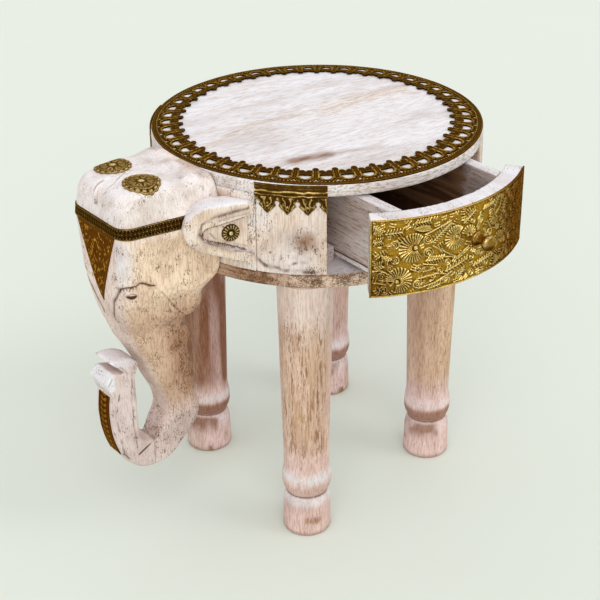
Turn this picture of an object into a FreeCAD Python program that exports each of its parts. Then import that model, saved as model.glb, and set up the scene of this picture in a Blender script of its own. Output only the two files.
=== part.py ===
import FreeCAD, Part
import math
import os

# Elephant side table: a round drum on four turned legs, a carved head in front, a drawer in its left side.
# While it is modelled the drum's axis is Z, the floor is z = 0, the head points along +X and the
# drawer opens along +Y. At the end the part moves so that its origin is the middle of its footprint.
# All sizes are millimetres and degrees.

# Drum
table_height = 450.0
top_radius = 190.0
top_thickness = 13.0
drum_height = 91.0
base_thickness = 15.0
rim_bevel = 1.5
panel_thickness = 18.0
block_depth = 45.0
shoulder_angle = 31.0
glue_line = 0.1

# Dowels
dowel_radius = 4.0
dowel_depth = 8.0
dowel_in_block = 14.0
dowel_inset = 18.0
dowel_angle = 4.5
dowel_gap = 0.1
neck_dowel_radius = 5.0
neck_dowel_reach = 24.0
neck_dowel_spread = 30.0
trunk_dowel_reach = 14.0

# Fretwork border, let in flush with the top
border_thickness = 0.8
border_rim_inset = 3.5
border_width = 33.0
border_motifs = 48
border_scallop_depth = 6.0
border_eye_gap = 2.5
border_eye_length = 10.0
border_eye_height = 6.0
border_seat_gap = 0.5

# Legs: places set by hand, as an angle round the drum and an inset from its rim, and the turned outline
leg_settings = {
    "front_left": (46.0, 28.3),
    "front_right": (-45.3, 46.5),
    "hind_left": (140.3, 52.2),
    "hind_right": (-134.2, 39.4),
}
leg_top_radius = 31.5
leg_ankle_radius = 26.5
leg_ankle_height = 90.0
collar_radius = 29.0
collar_height = 70.5
groove_height = 53.5
groove_radius = 24.0
foot_shoulder_height = 47.5
foot_shoulder_radius = 27.0
foot_radius = 28.5
foot_round = 2.0
tenon_radius = 16.0
tenon_length = 11.0
tenon_gap = 0.2

# Head and trunk. Each row is one section across the side outline, from the crown down into the curl:
# front reach and drop, rear reach and drop, front and rear half width, front and rear corner radius.
# A reach is counted from the drum's rim, a drop from the height of the top.
head_rows = [
    (80.0, -2.0, 22.0, -2.0, 36.0, 42.0, 14.0, 14.0),
    (95.0, 2.0, 2.0, 2.0, 44.0, 50.0, 17.0, 17.0),
    (104.5, 13.0, -20.0, 13.0, 48.5, 57.0, 18.0, 18.0),
    (107.5, 32.0, -26.0, 32.0, 50.0, 66.0, 18.0, 18.0),
    (108.5, 65.0, -26.0, 65.0, 49.0, 66.0, 18.0, 18.0),
    (108.5, 98.0, -24.0, 98.0, 45.0, 60.0, 18.0, 18.0),
    (107.0, 124.0, -8.0, 124.0, 41.0, 55.0, 18.0, 18.0),
    (102.5, 146.0, 2.0, 146.0, 36.5, 48.5, 18.0, 18.0),
    (98.5, 161.0, 10.0, 161.0, 33.8, 45.0, 18.0, 18.0),
    (96.0, 169.0, 18.0, 169.0, 32.4, 37.0, 18.0, 18.0),
    (92.0, 181.0, 16.0, 181.0, 31.0, 33.0, 18.0, 18.0),
    (80.0, 205.0, 12.0, 205.0, 29.0, 30.0, 18.0, 18.0),
    (66.0, 235.0, 9.0, 235.0, 27.0, 27.5, 17.0, 17.0),
    (54.0, 262.0, 5.0, 264.0, 25.0, 25.0, 15.0, 15.0),
    (46.0, 284.0, 2.0, 291.0, 23.0, 23.0, 13.0, 13.0),
    (50.0, 301.0, 11.0, 326.0, 21.0, 21.0, 11.0, 11.0),
    (58.0, 316.0, 35.0, 348.0, 19.0, 19.0, 8.0, 8.0),
    (66.0, 322.0, 66.0, 357.0, 17.5, 17.5, 5.0, 5.0),
]
crown_leaf_front = (110.0, 26.0)
crown_leaf_rear = (66.0, -2.5)
crown_leaf_half_width = 8.0
crown_leaf_depth = 4.0

# Upturned end of the trunk: thickness comes from the last head section, the rest is its side outline
trunk_front_reach = 117.5
trunk_front_bulge_drop = 285.0
trunk_knee = (109.0, 323.0)
trunk_toe = (92.0, 347.0)
trunk_throat_reach = 84.0
trunk_throat_drop = 305.0
lip_root = (115.0, 246.0)
lip_edge = (122.5, 227.5)
lip_slot_mouth = (113.0, 217.0)
lip_slot_end = (95.0, 223.0)
lip_upper_edge = (115.0, 203.0)
lip_crown = (99.0, 203.0)
lip_heel = (79.0, 213.0)
lip_heel_drop = 228.0
trunk_edge_round = 4.0
trunk_touch_gap = 0.4

# Ears: a slab standing against the side of the head, with a raised rim round a recessed field.
# Places on the ear are distances along it from the shoulder block, with a drop below the top.
ear_angle = -20.3
ear_thickness = 24.0
ear_top_drop = 21.0
ear_foot_rise = 6.5
ear_brow = (44.0, 21.0)
ear_brow_turn = (68.0, 29.0)
ear_tip = (78.0, 46.0)
ear_chin_turn = (74.0, 60.0)
ear_chin = (60.0, 73.5)
ear_field_rear_top = (-10.0, 34.0)
ear_field_nose_top = (50.0, 45.5)
ear_field_nose = (58.5, 54.5)
ear_field_nose_low = (55.0, 62.0)
ear_field_rear_low = (-10.0, 87.0)
ear_field_depth = 5.0
ear_rim_round = 4.0

# Brass on the head
sheet_thickness = 0.8
sheet_gap = 0.05
band_drop = 39.5
band_width = 13.0
band_rear_reach = 44.0
plate_half_width = 37.0
plate_apex_drop = 134.0
plate_gap = 0.5
boss_radius = 20.5
boss_reach = 66.0
boss_spread = 28.0
boss_rim_height = 1.6
boss_lobes = 16
boss_lobe_depth = 1.3
boss_dome_radius = 12.0
boss_dome_height = 3.0
boss_button_radius = 5.0
boss_height = 4.0
strip_width = 22.0
strip_low_drop = 327.0
strip_high_drop = 248.0
stud_radius = 10.0
stud_rim_height = 1.4
stud_ring_radius = 7.0
stud_ring_height = 2.7
stud_valley_radius = 4.0
stud_valley_height = 2.0
stud_button_radius = 2.5
stud_height = 4.5
stud_along_ear = 26.0
stud_drop = 56.0
eye_radius = 5.0
eye_reach = 97.0
eye_drop = 116.0

# Valance of the shoulder blocks
valance_drop = 33.0
valance_top_gap = 1.0
valance_points = 3
valance_pitch = 6.45
valance_lead = 0.95
valance_notch = 10.0
valance_hole_radius = 2.6

# Drawer
opening_half = 111.0
drawer_open = 65.0
front_thickness = 20.0
front_end_gap = 1.0
front_foot_gap = 0.6
front_head_gap = 3.2
drawer_half = 81.5
drawer_side_thickness = 14.0
drawer_rear = -100.0
drawer_back_thickness = 12.0
drawer_bottom_thickness = 6.0
drawer_back_step = 6.0
drawer_top_gap = 3.0
guide_width = 15.0
guide_height = 18.0
guide_front = 131.0
guide_rear = -120.0
guide_gap = 1.0
runner_width = 18.0
runner_height = 5.7
runner_inset = 3.0
runner_gap = 0.3
stop_half = 25.0
stop_depth = 22.0
stop_height = 24.0
stop_gap = 0.6
knob_offset = -8.0
knob_length = 21.0
knob_radius = 7.0
knob_neck_radius = 4.0
knob_foot_radius = 5.0
knob_plate_radius = 6.5
knob_plate_height = 2.6
knob_waist = 10.0
knob_flare = 14.5
knob_end_bevel = 2.0
screw_radius = 2.0
screw_head_radius = 4.0
screw_head_depth = 2.4
screw_bite = 11.0
screw_gap = 0.2

# Levels and lines worked out from the sizes above
top_under = table_height - top_thickness
base_top = top_under - drum_height
base_under = base_top - base_thickness
jamb_angle = math.degrees(math.acos(opening_half / top_radius))
border_outer_radius = top_radius - border_rim_inset
border_tip_radius = border_outer_radius - border_width
border_cusp_radius = border_tip_radius + border_scallop_depth
border_eye_radius = border_cusp_radius + border_eye_gap + border_eye_height / 2
drawer_floor = base_top + runner_height + runner_gap
drawer_side_foot = drawer_floor + drawer_bottom_thickness
drawer_side_top = top_under - drawer_top_gap
front_inner_radius = top_radius - front_thickness
knob_height = (base_top + top_under) / 2
far = 4 * top_radius

UP = FreeCAD.Vector(0, 0, 1)
AHEAD = FreeCAD.Vector(1, 0, 0)
LEFT = FreeCAD.Vector(0, 1, 0)
ORIGIN = FreeCAD.Vector(0, 0, 0)


def point(x, y, z):
    return FreeCAD.Vector(x, y, z)


def polar(radius, angle, z=0.0):
    turn = math.radians(angle)
    return point(radius * math.cos(turn), radius * math.sin(turn), z)


def side_point(reach, drop, y=0.0):
    """A point given as reach ahead of the drum's rim and drop below the top."""
    return point(top_radius + reach, y, table_height - drop)


def line(a, b):
    return Part.LineSegment(a, b).toShape()


def arc(a, middle, b):
    return Part.Arc(a, middle, b).toShape()


def polygon(points):
    return Part.makePolygon(points + points[:1])


def prism(wire, travel):
    return Part.Face(wire).extrude(travel)


def block(x0, x1, y0, y1, z0, z1):
    return Part.makeBox(x1 - x0, y1 - y0, z1 - z0, point(x0, y0, z0))


def rod(start, end, radius):
    return Part.makeCylinder(radius, (end - start).Length, start, end - start)


def turned(points, axis_point, axis):
    """A solid of revolution: points is a closed outline in a plane through the axis."""
    return Part.Face(polygon(points)).revolve(axis_point, axis, 360)


def mirrored(shape, normal):
    return shape.mirror(ORIGIN, normal)


def drum_plug(radius, z0, z1):
    return Part.makeCylinder(radius, z1 - z0, point(0, 0, z0))


def ring_piece(inner, outer, start, end, z0, z1):
    """A piece of the drum's ring with radial ends, between two angles."""
    middle = (start + end) / 2
    edges = [
        arc(polar(outer, start, z0), polar(outer, middle, z0), polar(outer, end, z0)),
        line(polar(outer, end, z0), polar(inner, end, z0)),
        arc(polar(inner, end, z0), polar(inner, middle, z0), polar(inner, start, z0)),
        line(polar(inner, start, z0), polar(outer, start, z0)),
    ]
    return prism(Part.Wire(edges), UP * (z1 - z0))


def bowed_panel(inner, outer, half, z0, z1):
    """A curved panel across the +Y side of the drum, with ends square to X."""
    inner_y = math.sqrt(inner * inner - half * half)
    outer_y = math.sqrt(outer * outer - half * half)
    edges = [
        arc(point(half, outer_y, z0), point(0, outer, z0), point(-half, outer_y, z0)),
        line(point(-half, outer_y, z0), point(-half, inner_y, z0)),
        arc(point(-half, inner_y, z0), point(0, inner, z0), point(half, inner_y, z0)),
        line(point(half, inner_y, z0), point(half, outer_y, z0)),
    ]
    return prism(Part.Wire(edges), UP * (z1 - z0))


def rounded_loop(corners, radii):
    """A closed wire of straight runs joined by tangent arcs."""
    runs = []
    for index, corner in enumerate(corners):
        before = (corners[index - 1] - corner).normalize()
        after = (corners[(index + 1) % len(corners)] - corner).normalize()
        half_turn = before.getAngle(after) / 2
        setback = radii[index] / math.tan(half_turn)
        inward = (before + after).normalize()
        nearest = radii[index] / math.sin(half_turn) - radii[index]
        runs.append((corner + before * setback, corner + inward * nearest, corner + after * setback))
    edges = []
    for index, (start, middle, end) in enumerate(runs):
        edges.append(arc(start, middle, end))
        edges.append(line(end, runs[(index + 1) % len(runs)][0]))
    return Part.Wire(edges)


def bevelled_rims(disc):
    """Takes the sharpness off the upper and lower rims of a round board."""
    rims = [edge for edge in disc.Edges if isinstance(edge.Curve, Part.Circle)]
    return disc.makeChamfer(rim_bevel, rims)


def dowel_places():
    """Plan places of the dowels, one in each corner block."""
    ahead = polar(top_radius - dowel_inset, shoulder_angle + dowel_angle)
    return [point(sx * ahead.x, sy * ahead.y, 0) for sx in (1, -1) for sy in (1, -1)]


def dowel_rods(gap):
    """Short dowels from every corner block up into the top and down into the base."""
    rods = []
    for place in dowel_places():
        for face, into_board in ((top_under, 1), (base_top, -1)):
            start = place + UP * (face - into_board * (dowel_in_block + gap))
            end = place + UP * (face + into_board * (dowel_depth + gap))
            rods.append(rod(start, end, dowel_radius + gap))
    return rods


def neck_dowel_rods(gap):
    """Two dowels that hold the head to the neck block."""
    rods = []
    for side in (1, -1):
        y = side * neck_dowel_spread
        start = point(top_radius - neck_dowel_reach - gap, y, knob_height)
        end = point(top_radius + neck_dowel_reach + gap, y, knob_height)
        rods.append(rod(start, end, neck_dowel_radius + gap))
    return rods


def trunk_joint():
    """Upper and lower point of the glued joint at the bottom of the curl."""
    front_reach, front_drop, rear_reach, rear_drop = head_rows[-1][:4]
    return side_point(front_reach, front_drop), side_point(rear_reach, rear_drop)


def trunk_dowel_rod(gap):
    upper, lower = trunk_joint()
    middle = (upper + lower) / 2
    reach = AHEAD * (trunk_dowel_reach + gap)
    return rod(middle - reach, middle + reach, dowel_radius + gap)


def table_top():
    top = bevelled_rims(drum_plug(top_radius, top_under, table_height))
    seat_floor = table_height - border_thickness
    seat = drum_plug(border_outer_radius + border_seat_gap, seat_floor, table_height)
    seat = seat.cut(drum_plug(border_tip_radius - border_seat_gap, seat_floor, table_height))
    return top.cut([seat] + dowel_rods(dowel_gap))


def top_border():
    """Brass ring with scallops inward and an eye over each cusp between them."""
    z = table_height - border_thickness
    pitch = 360.0 / border_motifs
    eye_spread = math.degrees(border_eye_length / 2 / border_eye_radius)
    scallops = []
    eyes = []
    for index in range(border_motifs):
        tip = index * pitch
        cusp = tip + pitch / 2
        scallops.append(arc(
            polar(border_cusp_radius, tip - pitch / 2, z),
            polar(border_tip_radius, tip, z),
            polar(border_cusp_radius, cusp, z),
        ))
        eyes.append(polygon([
            polar(border_eye_radius, cusp - eye_spread, z),
            polar(border_eye_radius - border_eye_height / 2, cusp, z),
            polar(border_eye_radius, cusp + eye_spread, z),
            polar(border_eye_radius + border_eye_height / 2, cusp, z),
        ]))
    rim = Part.Wire([Part.Circle(point(0, 0, z), UP, border_outer_radius).toShape()])
    face = Part.Face([rim, Part.Wire(scallops)] + eyes)
    face.validate()
    return face.extrude(UP * border_thickness)


def base_board():
    base = bevelled_rims(drum_plug(top_radius, base_under, base_top))
    under = UP * base_under
    deep = UP * (base_under + tenon_length + tenon_gap)
    sockets = [rod(place + under, place + deep, tenon_radius + tenon_gap) for place in leg_places().values()]
    return base.cut(sockets + dowel_rods(dowel_gap))


def corner_block():
    """Front left block: square jamb on the drawer side, radial face on the head side."""
    inner = top_radius - block_depth
    sector = ring_piece(inner, top_radius, shoulder_angle, 90, base_top, top_under)
    beyond_jamb = block(-far, opening_half, -far, far, base_top, top_under)
    return sector.cut([beyond_jamb] + dowel_rods(dowel_gap))


def neck_block():
    inner = top_radius - block_depth
    sector = ring_piece(inner, top_radius, -shoulder_angle, shoulder_angle, base_top, top_under)
    return sector.cut(neck_dowel_rods(dowel_gap))


def tail_panel():
    inner = top_radius - panel_thickness
    return ring_piece(inner, top_radius, 180 - shoulder_angle, 180 + shoulder_angle, base_top, top_under)


def flank_panel():
    panel = bowed_panel(top_radius - panel_thickness, top_radius, opening_half, base_top, top_under)
    return mirrored(panel, LEFT)


def leg_places():
    """Plan place of each leg's axis."""
    return {name: polar(top_radius - inset, angle) for name, (angle, inset) in leg_settings.items()}


def leg(place):
    """Turned leg: foot, groove, ankle collar, tapered shaft and a round tenon."""
    def at(radius, z):
        return place + point(radius, 0, z)

    tenon_top = base_under + tenon_length
    edges = [
        line(at(0, 0), at(foot_radius - foot_round, 0)),
        line(at(foot_radius - foot_round, 0), at(foot_radius, foot_round)),
        line(at(foot_radius, foot_round), at(foot_shoulder_radius, foot_shoulder_height)),
        line(at(foot_shoulder_radius, foot_shoulder_height), at(groove_radius, groove_height)),
        arc(at(groove_radius, groove_height), at(collar_radius, collar_height),
            at(leg_ankle_radius, leg_ankle_height)),
        line(at(leg_ankle_radius, leg_ankle_height), at(leg_top_radius, base_under)),
        line(at(leg_top_radius, base_under), at(tenon_radius, base_under)),
        line(at(tenon_radius, base_under), at(tenon_radius, tenon_top)),
        line(at(tenon_radius, tenon_top), at(0, tenon_top)),
        line(at(0, tenon_top), at(0, 0)),
    ]
    return Part.Face(Part.Wire(edges)).revolve(place, UP, 360)


def head_section(row, grow):
    front_reach, front_drop, rear_reach, rear_drop, half_front, half_rear, round_front, round_rear = row
    front = side_point(front_reach, front_drop)
    rear = side_point(rear_reach, rear_drop)
    outward = (front - rear).normalize() * grow
    front = front + outward
    rear = rear - outward
    corners = [
        front - LEFT * (half_front + grow),
        front + LEFT * (half_front + grow),
        rear + LEFT * (half_rear + grow),
        rear - LEFT * (half_rear + grow),
    ]
    radii = [round_front + grow, round_front + grow, round_rear + grow, round_rear + grow]
    return rounded_loop(corners, radii)


def head_form(grow):
    """The carved head and trunk, down to the joint in the curl, swelled all round by grow."""
    return Part.makeLoft([head_section(row, grow) for row in head_rows], True, False)


def crown_leaf():
    """Shallow leaf-shaped hollow between the two domes of the crown."""
    front = side_point(*crown_leaf_front)
    rear = side_point(*crown_leaf_rear)
    middle = (front + rear) / 2
    half = LEFT * crown_leaf_half_width
    outline = Part.Wire([arc(front, middle + half, rear), arc(rear, middle - half, front)])
    return prism(outline, UP * far).cut(head_form(-crown_leaf_depth))


def head(form):
    drum = drum_plug(top_radius + glue_line, base_under - glue_line, table_height + top_thickness)
    holes = neck_dowel_rods(dowel_gap) + [trunk_dowel_rod(dowel_gap)]
    return form.cut([drum, crown_leaf()] + holes)


def trunk_outline():
    """Side outline of the upturned trunk end, from the joint round to the lips and back."""
    upper, lower = trunk_joint()
    knee = side_point(*trunk_knee)
    root = side_point(*lip_root)
    heel = side_point(trunk_throat_reach, lip_heel_drop)
    throat = side_point(trunk_throat_reach, trunk_throat_drop)
    corner = side_point(trunk_throat_reach, head_rows[-1][1])
    throat_turn = corner + (upper + throat - corner * 2) * (1 - math.sqrt(0.5))
    lips = [side_point(*place) for place in (lip_root, lip_edge, lip_slot_mouth, lip_slot_end, lip_upper_edge)]
    edges = [
        arc(lower, side_point(*trunk_toe), knee),
        arc(knee, side_point(trunk_front_reach, trunk_front_bulge_drop), root),
    ]
    edges += [line(a, b) for a, b in zip(lips, lips[1:])]
    edges += [
        arc(lips[-1], side_point(*lip_crown), side_point(*lip_heel)),
        line(side_point(*lip_heel), heel),
        line(heel, throat),
        arc(throat, throat_turn, upper),
        line(upper, lower),
    ]
    return Part.Wire(edges)


def trunk_end():
    """Square bar of the upturned trunk with softened curved edges, lips and slot at its tip."""
    half = head_rows[-1][4]
    flat = Part.Face(trunk_outline())
    flat.translate(LEFT * -half)
    bar = flat.extrude(LEFT * (2 * half))
    curved = [edge for edge in bar.Edges if isinstance(edge.Curve, Part.Circle)]
    bar = bar.makeFillet(trunk_edge_round, curved)
    above_heel = block(0, far, -far, far, table_height - lip_heel_drop, far)
    touching = head_form(trunk_touch_gap).common(above_heel)
    return bar.cut([touching, trunk_dowel_rod(dowel_gap)])


def trunk_strip():
    """Brass strip that follows the front of the upturned trunk."""
    half = strip_width / 2
    inner = Part.Face(trunk_outline().makeOffset2D(sheet_gap))
    outer = Part.Face(trunk_outline().makeOffset2D(sheet_gap + sheet_thickness))
    sheet = outer.cut(inner)
    sheet.translate(LEFT * -half)
    solid = sheet.extrude(LEFT * strip_width)
    low = table_height - strip_low_drop
    high = table_height - strip_high_drop
    return solid.common(block(top_radius + trunk_throat_reach, far, -half, half, low, high))


def ear_frame():
    """Rear end of the ear's outer face, and the directions along the ear and out of it."""
    root = polar(top_radius, shoulder_angle)
    along = polar(1, ear_angle)
    outward = polar(1, ear_angle + 90)
    return root, along, outward


def ear_place(distance, drop):
    """A place on the ear's outer face."""
    root, along = ear_frame()[:2]
    return root + along * distance + UP * (table_height - drop)


def ear_outline():
    """Tongue-shaped outline in the plane of the ear's outer face, running on into the drum."""
    foot_drop = table_height - base_top - ear_foot_rise
    inside = -2 * ear_thickness
    rear_foot = ear_place(inside, foot_drop)
    rear_top = ear_place(inside, ear_top_drop)
    foot = ear_place(0, foot_drop)
    chin = ear_place(*ear_chin)
    tip = ear_place(*ear_tip)
    brow = ear_place(*ear_brow)
    return Part.Wire([
        line(rear_foot, foot),
        line(foot, chin),
        arc(chin, ear_place(*ear_chin_turn), tip),
        arc(tip, ear_place(*ear_brow_turn), brow),
        line(brow, rear_top),
        line(rear_top, rear_foot),
    ])


def ear_field():
    """Blunt V of the recessed field, open towards the shoulder block."""
    rear_top = ear_place(*ear_field_rear_top)
    nose_top = ear_place(*ear_field_nose_top)
    nose_low = ear_place(*ear_field_nose_low)
    rear_low = ear_place(*ear_field_rear_low)
    return Part.Wire([
        line(rear_top, nose_top),
        arc(nose_top, ear_place(*ear_field_nose), nose_low),
        line(nose_low, rear_low),
        line(rear_low, rear_top),
    ])


def ear_left(seat):
    """Carved ear, cut to lie against the head, the drum and the shoulder block."""
    root, _, outward = ear_frame()
    outline = ear_outline()
    slab = prism(outline, outward * -ear_thickness)
    face_level = root.dot(outward)
    rim = [edge for edge in slab.Edges if abs(edge.CenterOfMass.dot(outward) - face_level) < glue_line]
    slab = slab.makeFillet(ear_rim_round, rim)
    field = prism(ear_field(), outward * -ear_field_depth)
    behind_shoulder = prism(
        polygon([ORIGIN, polar(far, shoulder_angle), polar(far, shoulder_angle + 90)]),
        UP * far,
    )
    drum = drum_plug(top_radius + glue_line, 0, far)
    return slab.cut([field, behind_shoulder, drum, seat])


def seat_on(form, outside, inside):
    """Where a line from outside the carved head to its inside first meets the wood."""
    buried = Part.makeLine(outside, inside).common(form)
    return min((vertex.Point for vertex in buried.Vertexes), key=lambda place: place.distanceToPoint(outside))


def head_sheet(grown, form, region):
    """A thin brass sheet lying on the carved head, where the region cuts it out."""
    return grown.common(region).cut(form)


def lobed_outline(radius, lobe_depth, lobes):
    """Round outline whose rim is a row of outward arcs."""
    turn = 360.0 / lobes
    valley = radius - lobe_depth
    return Part.Wire([
        arc(polar(valley, (i - 0.5) * turn), polar(radius, i * turn), polar(valley, (i + 0.5) * turn))
        for i in range(lobes)
    ])


def crown_boss(form):
    """Rosette hammered to the left side of the crown: a lobed plate under a stepped dome."""
    place = side_point(boss_reach, 0, boss_spread)
    seat = seat_on(form, place + UP * far, place - UP * top_thickness)
    swelled = head_form(sheet_gap + boss_rim_height)
    swelled.translate(UP * boss_rim_height)
    rim = lobed_outline(boss_radius, boss_lobe_depth, boss_lobes)
    rim.translate(seat - UP * boss_radius)
    plate = swelled.common(prism(rim, UP * 2 * boss_radius))
    dome = turned([
        point(0, 0, -boss_rim_height),
        point(boss_dome_radius, 0, -boss_rim_height),
        point(boss_dome_radius, 0, boss_rim_height),
        point(boss_button_radius, 0, boss_dome_height),
        point(boss_button_radius, 0, boss_height),
        point(0, 0, boss_height),
    ], ORIGIN, UP)
    dome.translate(seat)
    return plate.fuse(dome).cut(form)


def ear_stud():
    """Domed rosette on the recessed field of the left ear."""
    root, along, outward = ear_frame()
    seat = root + along * stud_along_ear - outward * ear_field_depth + UP * (table_height - stud_drop)
    body = turned([
        ORIGIN,
        point(stud_radius, 0, 0),
        point(stud_radius, 0, stud_rim_height),
        point(stud_ring_radius, 0, stud_ring_height),
        point(stud_valley_radius, 0, stud_valley_height),
        point(stud_button_radius, 0, stud_height),
        point(0, 0, stud_height),
    ], ORIGIN, UP)
    body.rotate(ORIGIN, AHEAD, -90)
    body.rotate(ORIGIN, UP, ear_angle)
    body.translate(seat)
    return body


def eye(form):
    """Half-sunk bead at the side of the face."""
    middle = side_point(eye_reach, eye_drop)
    seat = seat_on(form, middle + LEFT * far, middle)
    return Part.makeSphere(eye_radius, seat).cut(form)


def valance():
    """Brass apron of the left shoulder block, with pointed drops between keyhole notches."""
    inner = top_radius + glue_line
    top = table_height - rim_bevel - valance_top_gap
    bottom = table_height - valance_drop
    sheet = ring_piece(inner, inner + sheet_thickness, shoulder_angle, jamb_angle, bottom, top)
    notch_half = math.radians(valance_pitch) * top_radius / 2
    through = 4 * sheet_thickness
    cutters = []
    for index in range(valance_points + 1):
        angle = shoulder_angle + valance_lead + index * valance_pitch
        out = polar(1, angle) * through
        across = polar(notch_half, angle + 90)
        base = polar(inner - sheet_thickness, angle, bottom)
        apex = base + UP * valance_notch
        cutters.append(prism(polygon([base - across, base + across, apex]), out))
        cutters.append(rod(apex, apex + out, valance_hole_radius))
    return sheet.cut(cutters)


def front_ring(inner, outer):
    """A bowed piece that fills the drawer opening, with radial ends."""
    start = math.degrees(math.acos((opening_half - front_end_gap) / top_radius))
    return ring_piece(inner, outer, start, 180 - start, base_top + front_foot_gap, top_under - front_head_gap)


def drawer_front(screw_hole):
    return front_ring(front_inner_radius, top_radius - sheet_thickness - sheet_gap).cut(screw_hole)


def drawer_cladding(screw_hole):
    """Embossed brass sheet over the drawer front."""
    return front_ring(top_radius - sheet_thickness, top_radius).cut(screw_hole)


def behind_front(shape):
    """Trims a drawer board to the hollow back of the drawer front."""
    return shape.common(drum_plug(front_inner_radius - glue_line, base_under, table_height))


def drawer_side():
    inner = drawer_half - drawer_side_thickness
    return behind_front(block(inner, drawer_half, drawer_rear, far, drawer_side_foot, drawer_side_top))


def drawer_back():
    inner = drawer_half - drawer_side_thickness
    rear = drawer_rear
    top = drawer_side_top - drawer_back_step
    return block(-inner, inner, rear, rear + drawer_back_thickness, drawer_side_foot, top)


def drawer_bottom():
    return behind_front(block(-drawer_half, drawer_half, drawer_rear, far, drawer_floor, drawer_side_foot))


def drawer_guide():
    inner = drawer_half + guide_gap
    return block(inner, inner + guide_width, guide_rear, guide_front, base_top, base_top + guide_height)


def drawer_runner():
    outer = drawer_half - runner_inset
    return block(outer - runner_width, outer, guide_rear, guide_front, base_top, base_top + runner_height)


def drawer_stop():
    front = drawer_rear - stop_gap
    return block(-stop_half, stop_half, front - stop_depth, front, base_top, base_top + stop_height)


def knob_axis(y):
    return point(knob_offset, y, knob_height)


def screw_start():
    """Where the screw's head begins, sunk behind the hollow back of the drawer front."""
    return math.sqrt(front_inner_radius ** 2 - knob_offset ** 2) + screw_head_depth / 2


def knob_screw(gap):
    """Countersunk screw from inside the drawer into the knob."""
    start = screw_start()
    neck = start + screw_head_depth
    tip = top_radius + screw_bite
    shank = screw_radius + gap
    return turned([
        knob_axis(start),
        knob_axis(start) + AHEAD * (screw_head_radius + gap),
        knob_axis(neck) + AHEAD * shank,
        knob_axis(tip + gap) + AHEAD * shank,
        knob_axis(tip + gap),
    ], knob_axis(start), LEFT)


def screw_way():
    """The screw's hole, with its countersink opened through to the inside."""
    start = screw_start()
    mouth = rod(knob_axis(start - screw_head_depth), knob_axis(start), screw_head_radius + screw_gap)
    return knob_screw(screw_gap).fuse(mouth)


def knob():
    """Turned brass knob on a small foot that is hollowed to the bowed front."""
    outline = [
        (-knob_plate_height, 0),
        (-knob_plate_height, knob_plate_radius),
        (knob_plate_height, knob_plate_radius),
        (knob_plate_height, knob_foot_radius),
        (knob_waist, knob_neck_radius),
        (knob_flare, knob_radius),
        (knob_length - knob_end_bevel, knob_radius),
        (knob_length, knob_radius - knob_end_bevel),
        (knob_length, 0),
    ]
    points = [knob_axis(top_radius + out) + AHEAD * radius for out, radius in outline]
    body = turned(points, points[0], LEFT)
    front = drum_plug(top_radius + sheet_gap, base_under, table_height)
    return body.cut([front, knob_screw(sheet_gap)])


def drum_parts():
    block_left = corner_block()
    parts = {
        "table_top": table_top(),
        "top_border": top_border(),
        "base_board": base_board(),
        "shoulder_block_left": block_left,
        "shoulder_block_right": mirrored(block_left, LEFT),
        "haunch_block_left": mirrored(block_left, AHEAD),
        "haunch_block_right": mirrored(mirrored(block_left, AHEAD), LEFT),
        "neck_block": neck_block(),
        "tail_panel": tail_panel(),
        "flank_panel": flank_panel(),
        "carcass_dowels": Part.makeCompound(dowel_rods(0)),
        "valance_left": valance(),
        "valance_right": mirrored(valance(), LEFT),
    }
    for name, place in leg_places().items():
        parts["leg_" + name] = leg(place)
    return parts


def head_parts():
    form = head_form(0)
    seat = head_form(sheet_gap)
    grown = head_form(sheet_gap + sheet_thickness)
    band_high = table_height - band_drop + band_width / 2
    band_low = table_height - band_drop - band_width / 2
    plate_high = band_low - plate_gap
    ahead = top_radius + band_rear_reach
    band_region = block(ahead, far, -far, far, band_low, band_high)
    triangle = polygon([
        point(ahead, -plate_half_width, plate_high),
        point(ahead, plate_half_width, plate_high),
        point(ahead, 0, table_height - plate_apex_drop),
    ])
    ear = ear_left(seat)
    boss = crown_boss(seat)
    bead = eye(seat)
    stud = ear_stud()
    return {
        "head": head(form),
        "trunk_end": trunk_end(),
        "trunk_strip": trunk_strip(),
        "trunk_dowel": trunk_dowel_rod(0),
        "neck_dowels": Part.makeCompound(neck_dowel_rods(0)),
        "head_band": head_sheet(grown, seat, band_region),
        "forehead_plate": head_sheet(grown, seat, prism(triangle, AHEAD * far)),
        "ear_left": ear,
        "ear_right": mirrored(ear, LEFT),
        "crown_boss_left": boss,
        "crown_boss_right": mirrored(boss, LEFT),
        "ear_stud_left": stud,
        "ear_stud_right": mirrored(stud, LEFT),
        "eye_left": bead,
        "eye_right": mirrored(bead, LEFT),
    }


def drawer_parts():
    """The drawer, modelled shut and then drawn out to where it rests."""
    way = screw_way()
    side = drawer_side()
    parts = {
        "drawer_front": drawer_front(way),
        "drawer_cladding": drawer_cladding(way),
        "drawer_side_head": side,
        "drawer_side_tail": mirrored(side, AHEAD),
        "drawer_back": drawer_back(),
        "drawer_bottom": drawer_bottom(),
        "drawer_knob": knob(),
        "knob_screw": knob_screw(0),
    }
    for shape in parts.values():
        shape.translate(LEFT * drawer_open)
    return parts


def drawer_bay_parts():
    guide = drawer_guide()
    runner = drawer_runner()
    return {
        "drawer_guide_head": guide,
        "drawer_guide_tail": mirrored(guide, AHEAD),
        "drawer_runner_head": runner,
        "drawer_runner_tail": mirrored(runner, AHEAD),
        "drawer_stop": drawer_stop(),
    }


def main():
    parts = {}
    parts.update(drum_parts())
    parts.update(head_parts())
    parts.update(drawer_bay_parts())
    parts.update(drawer_parts())
    box = Part.makeCompound(list(parts.values())).optimalBoundingBox()
    to_origin = point(-box.Center.x, -box.Center.y, -box.ZMin)
    os.makedirs("parts", exist_ok=True)
    for name, shape in parts.items():
        shape.translate(to_origin)
        shape.exportStep(os.path.join("parts", name + ".step"))
        print(name, "solids", len(shape.Solids), "valid", shape.isValid(), "volume", round(shape.Volume))
    print("box", box, "moved by", to_origin)


main()
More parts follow.
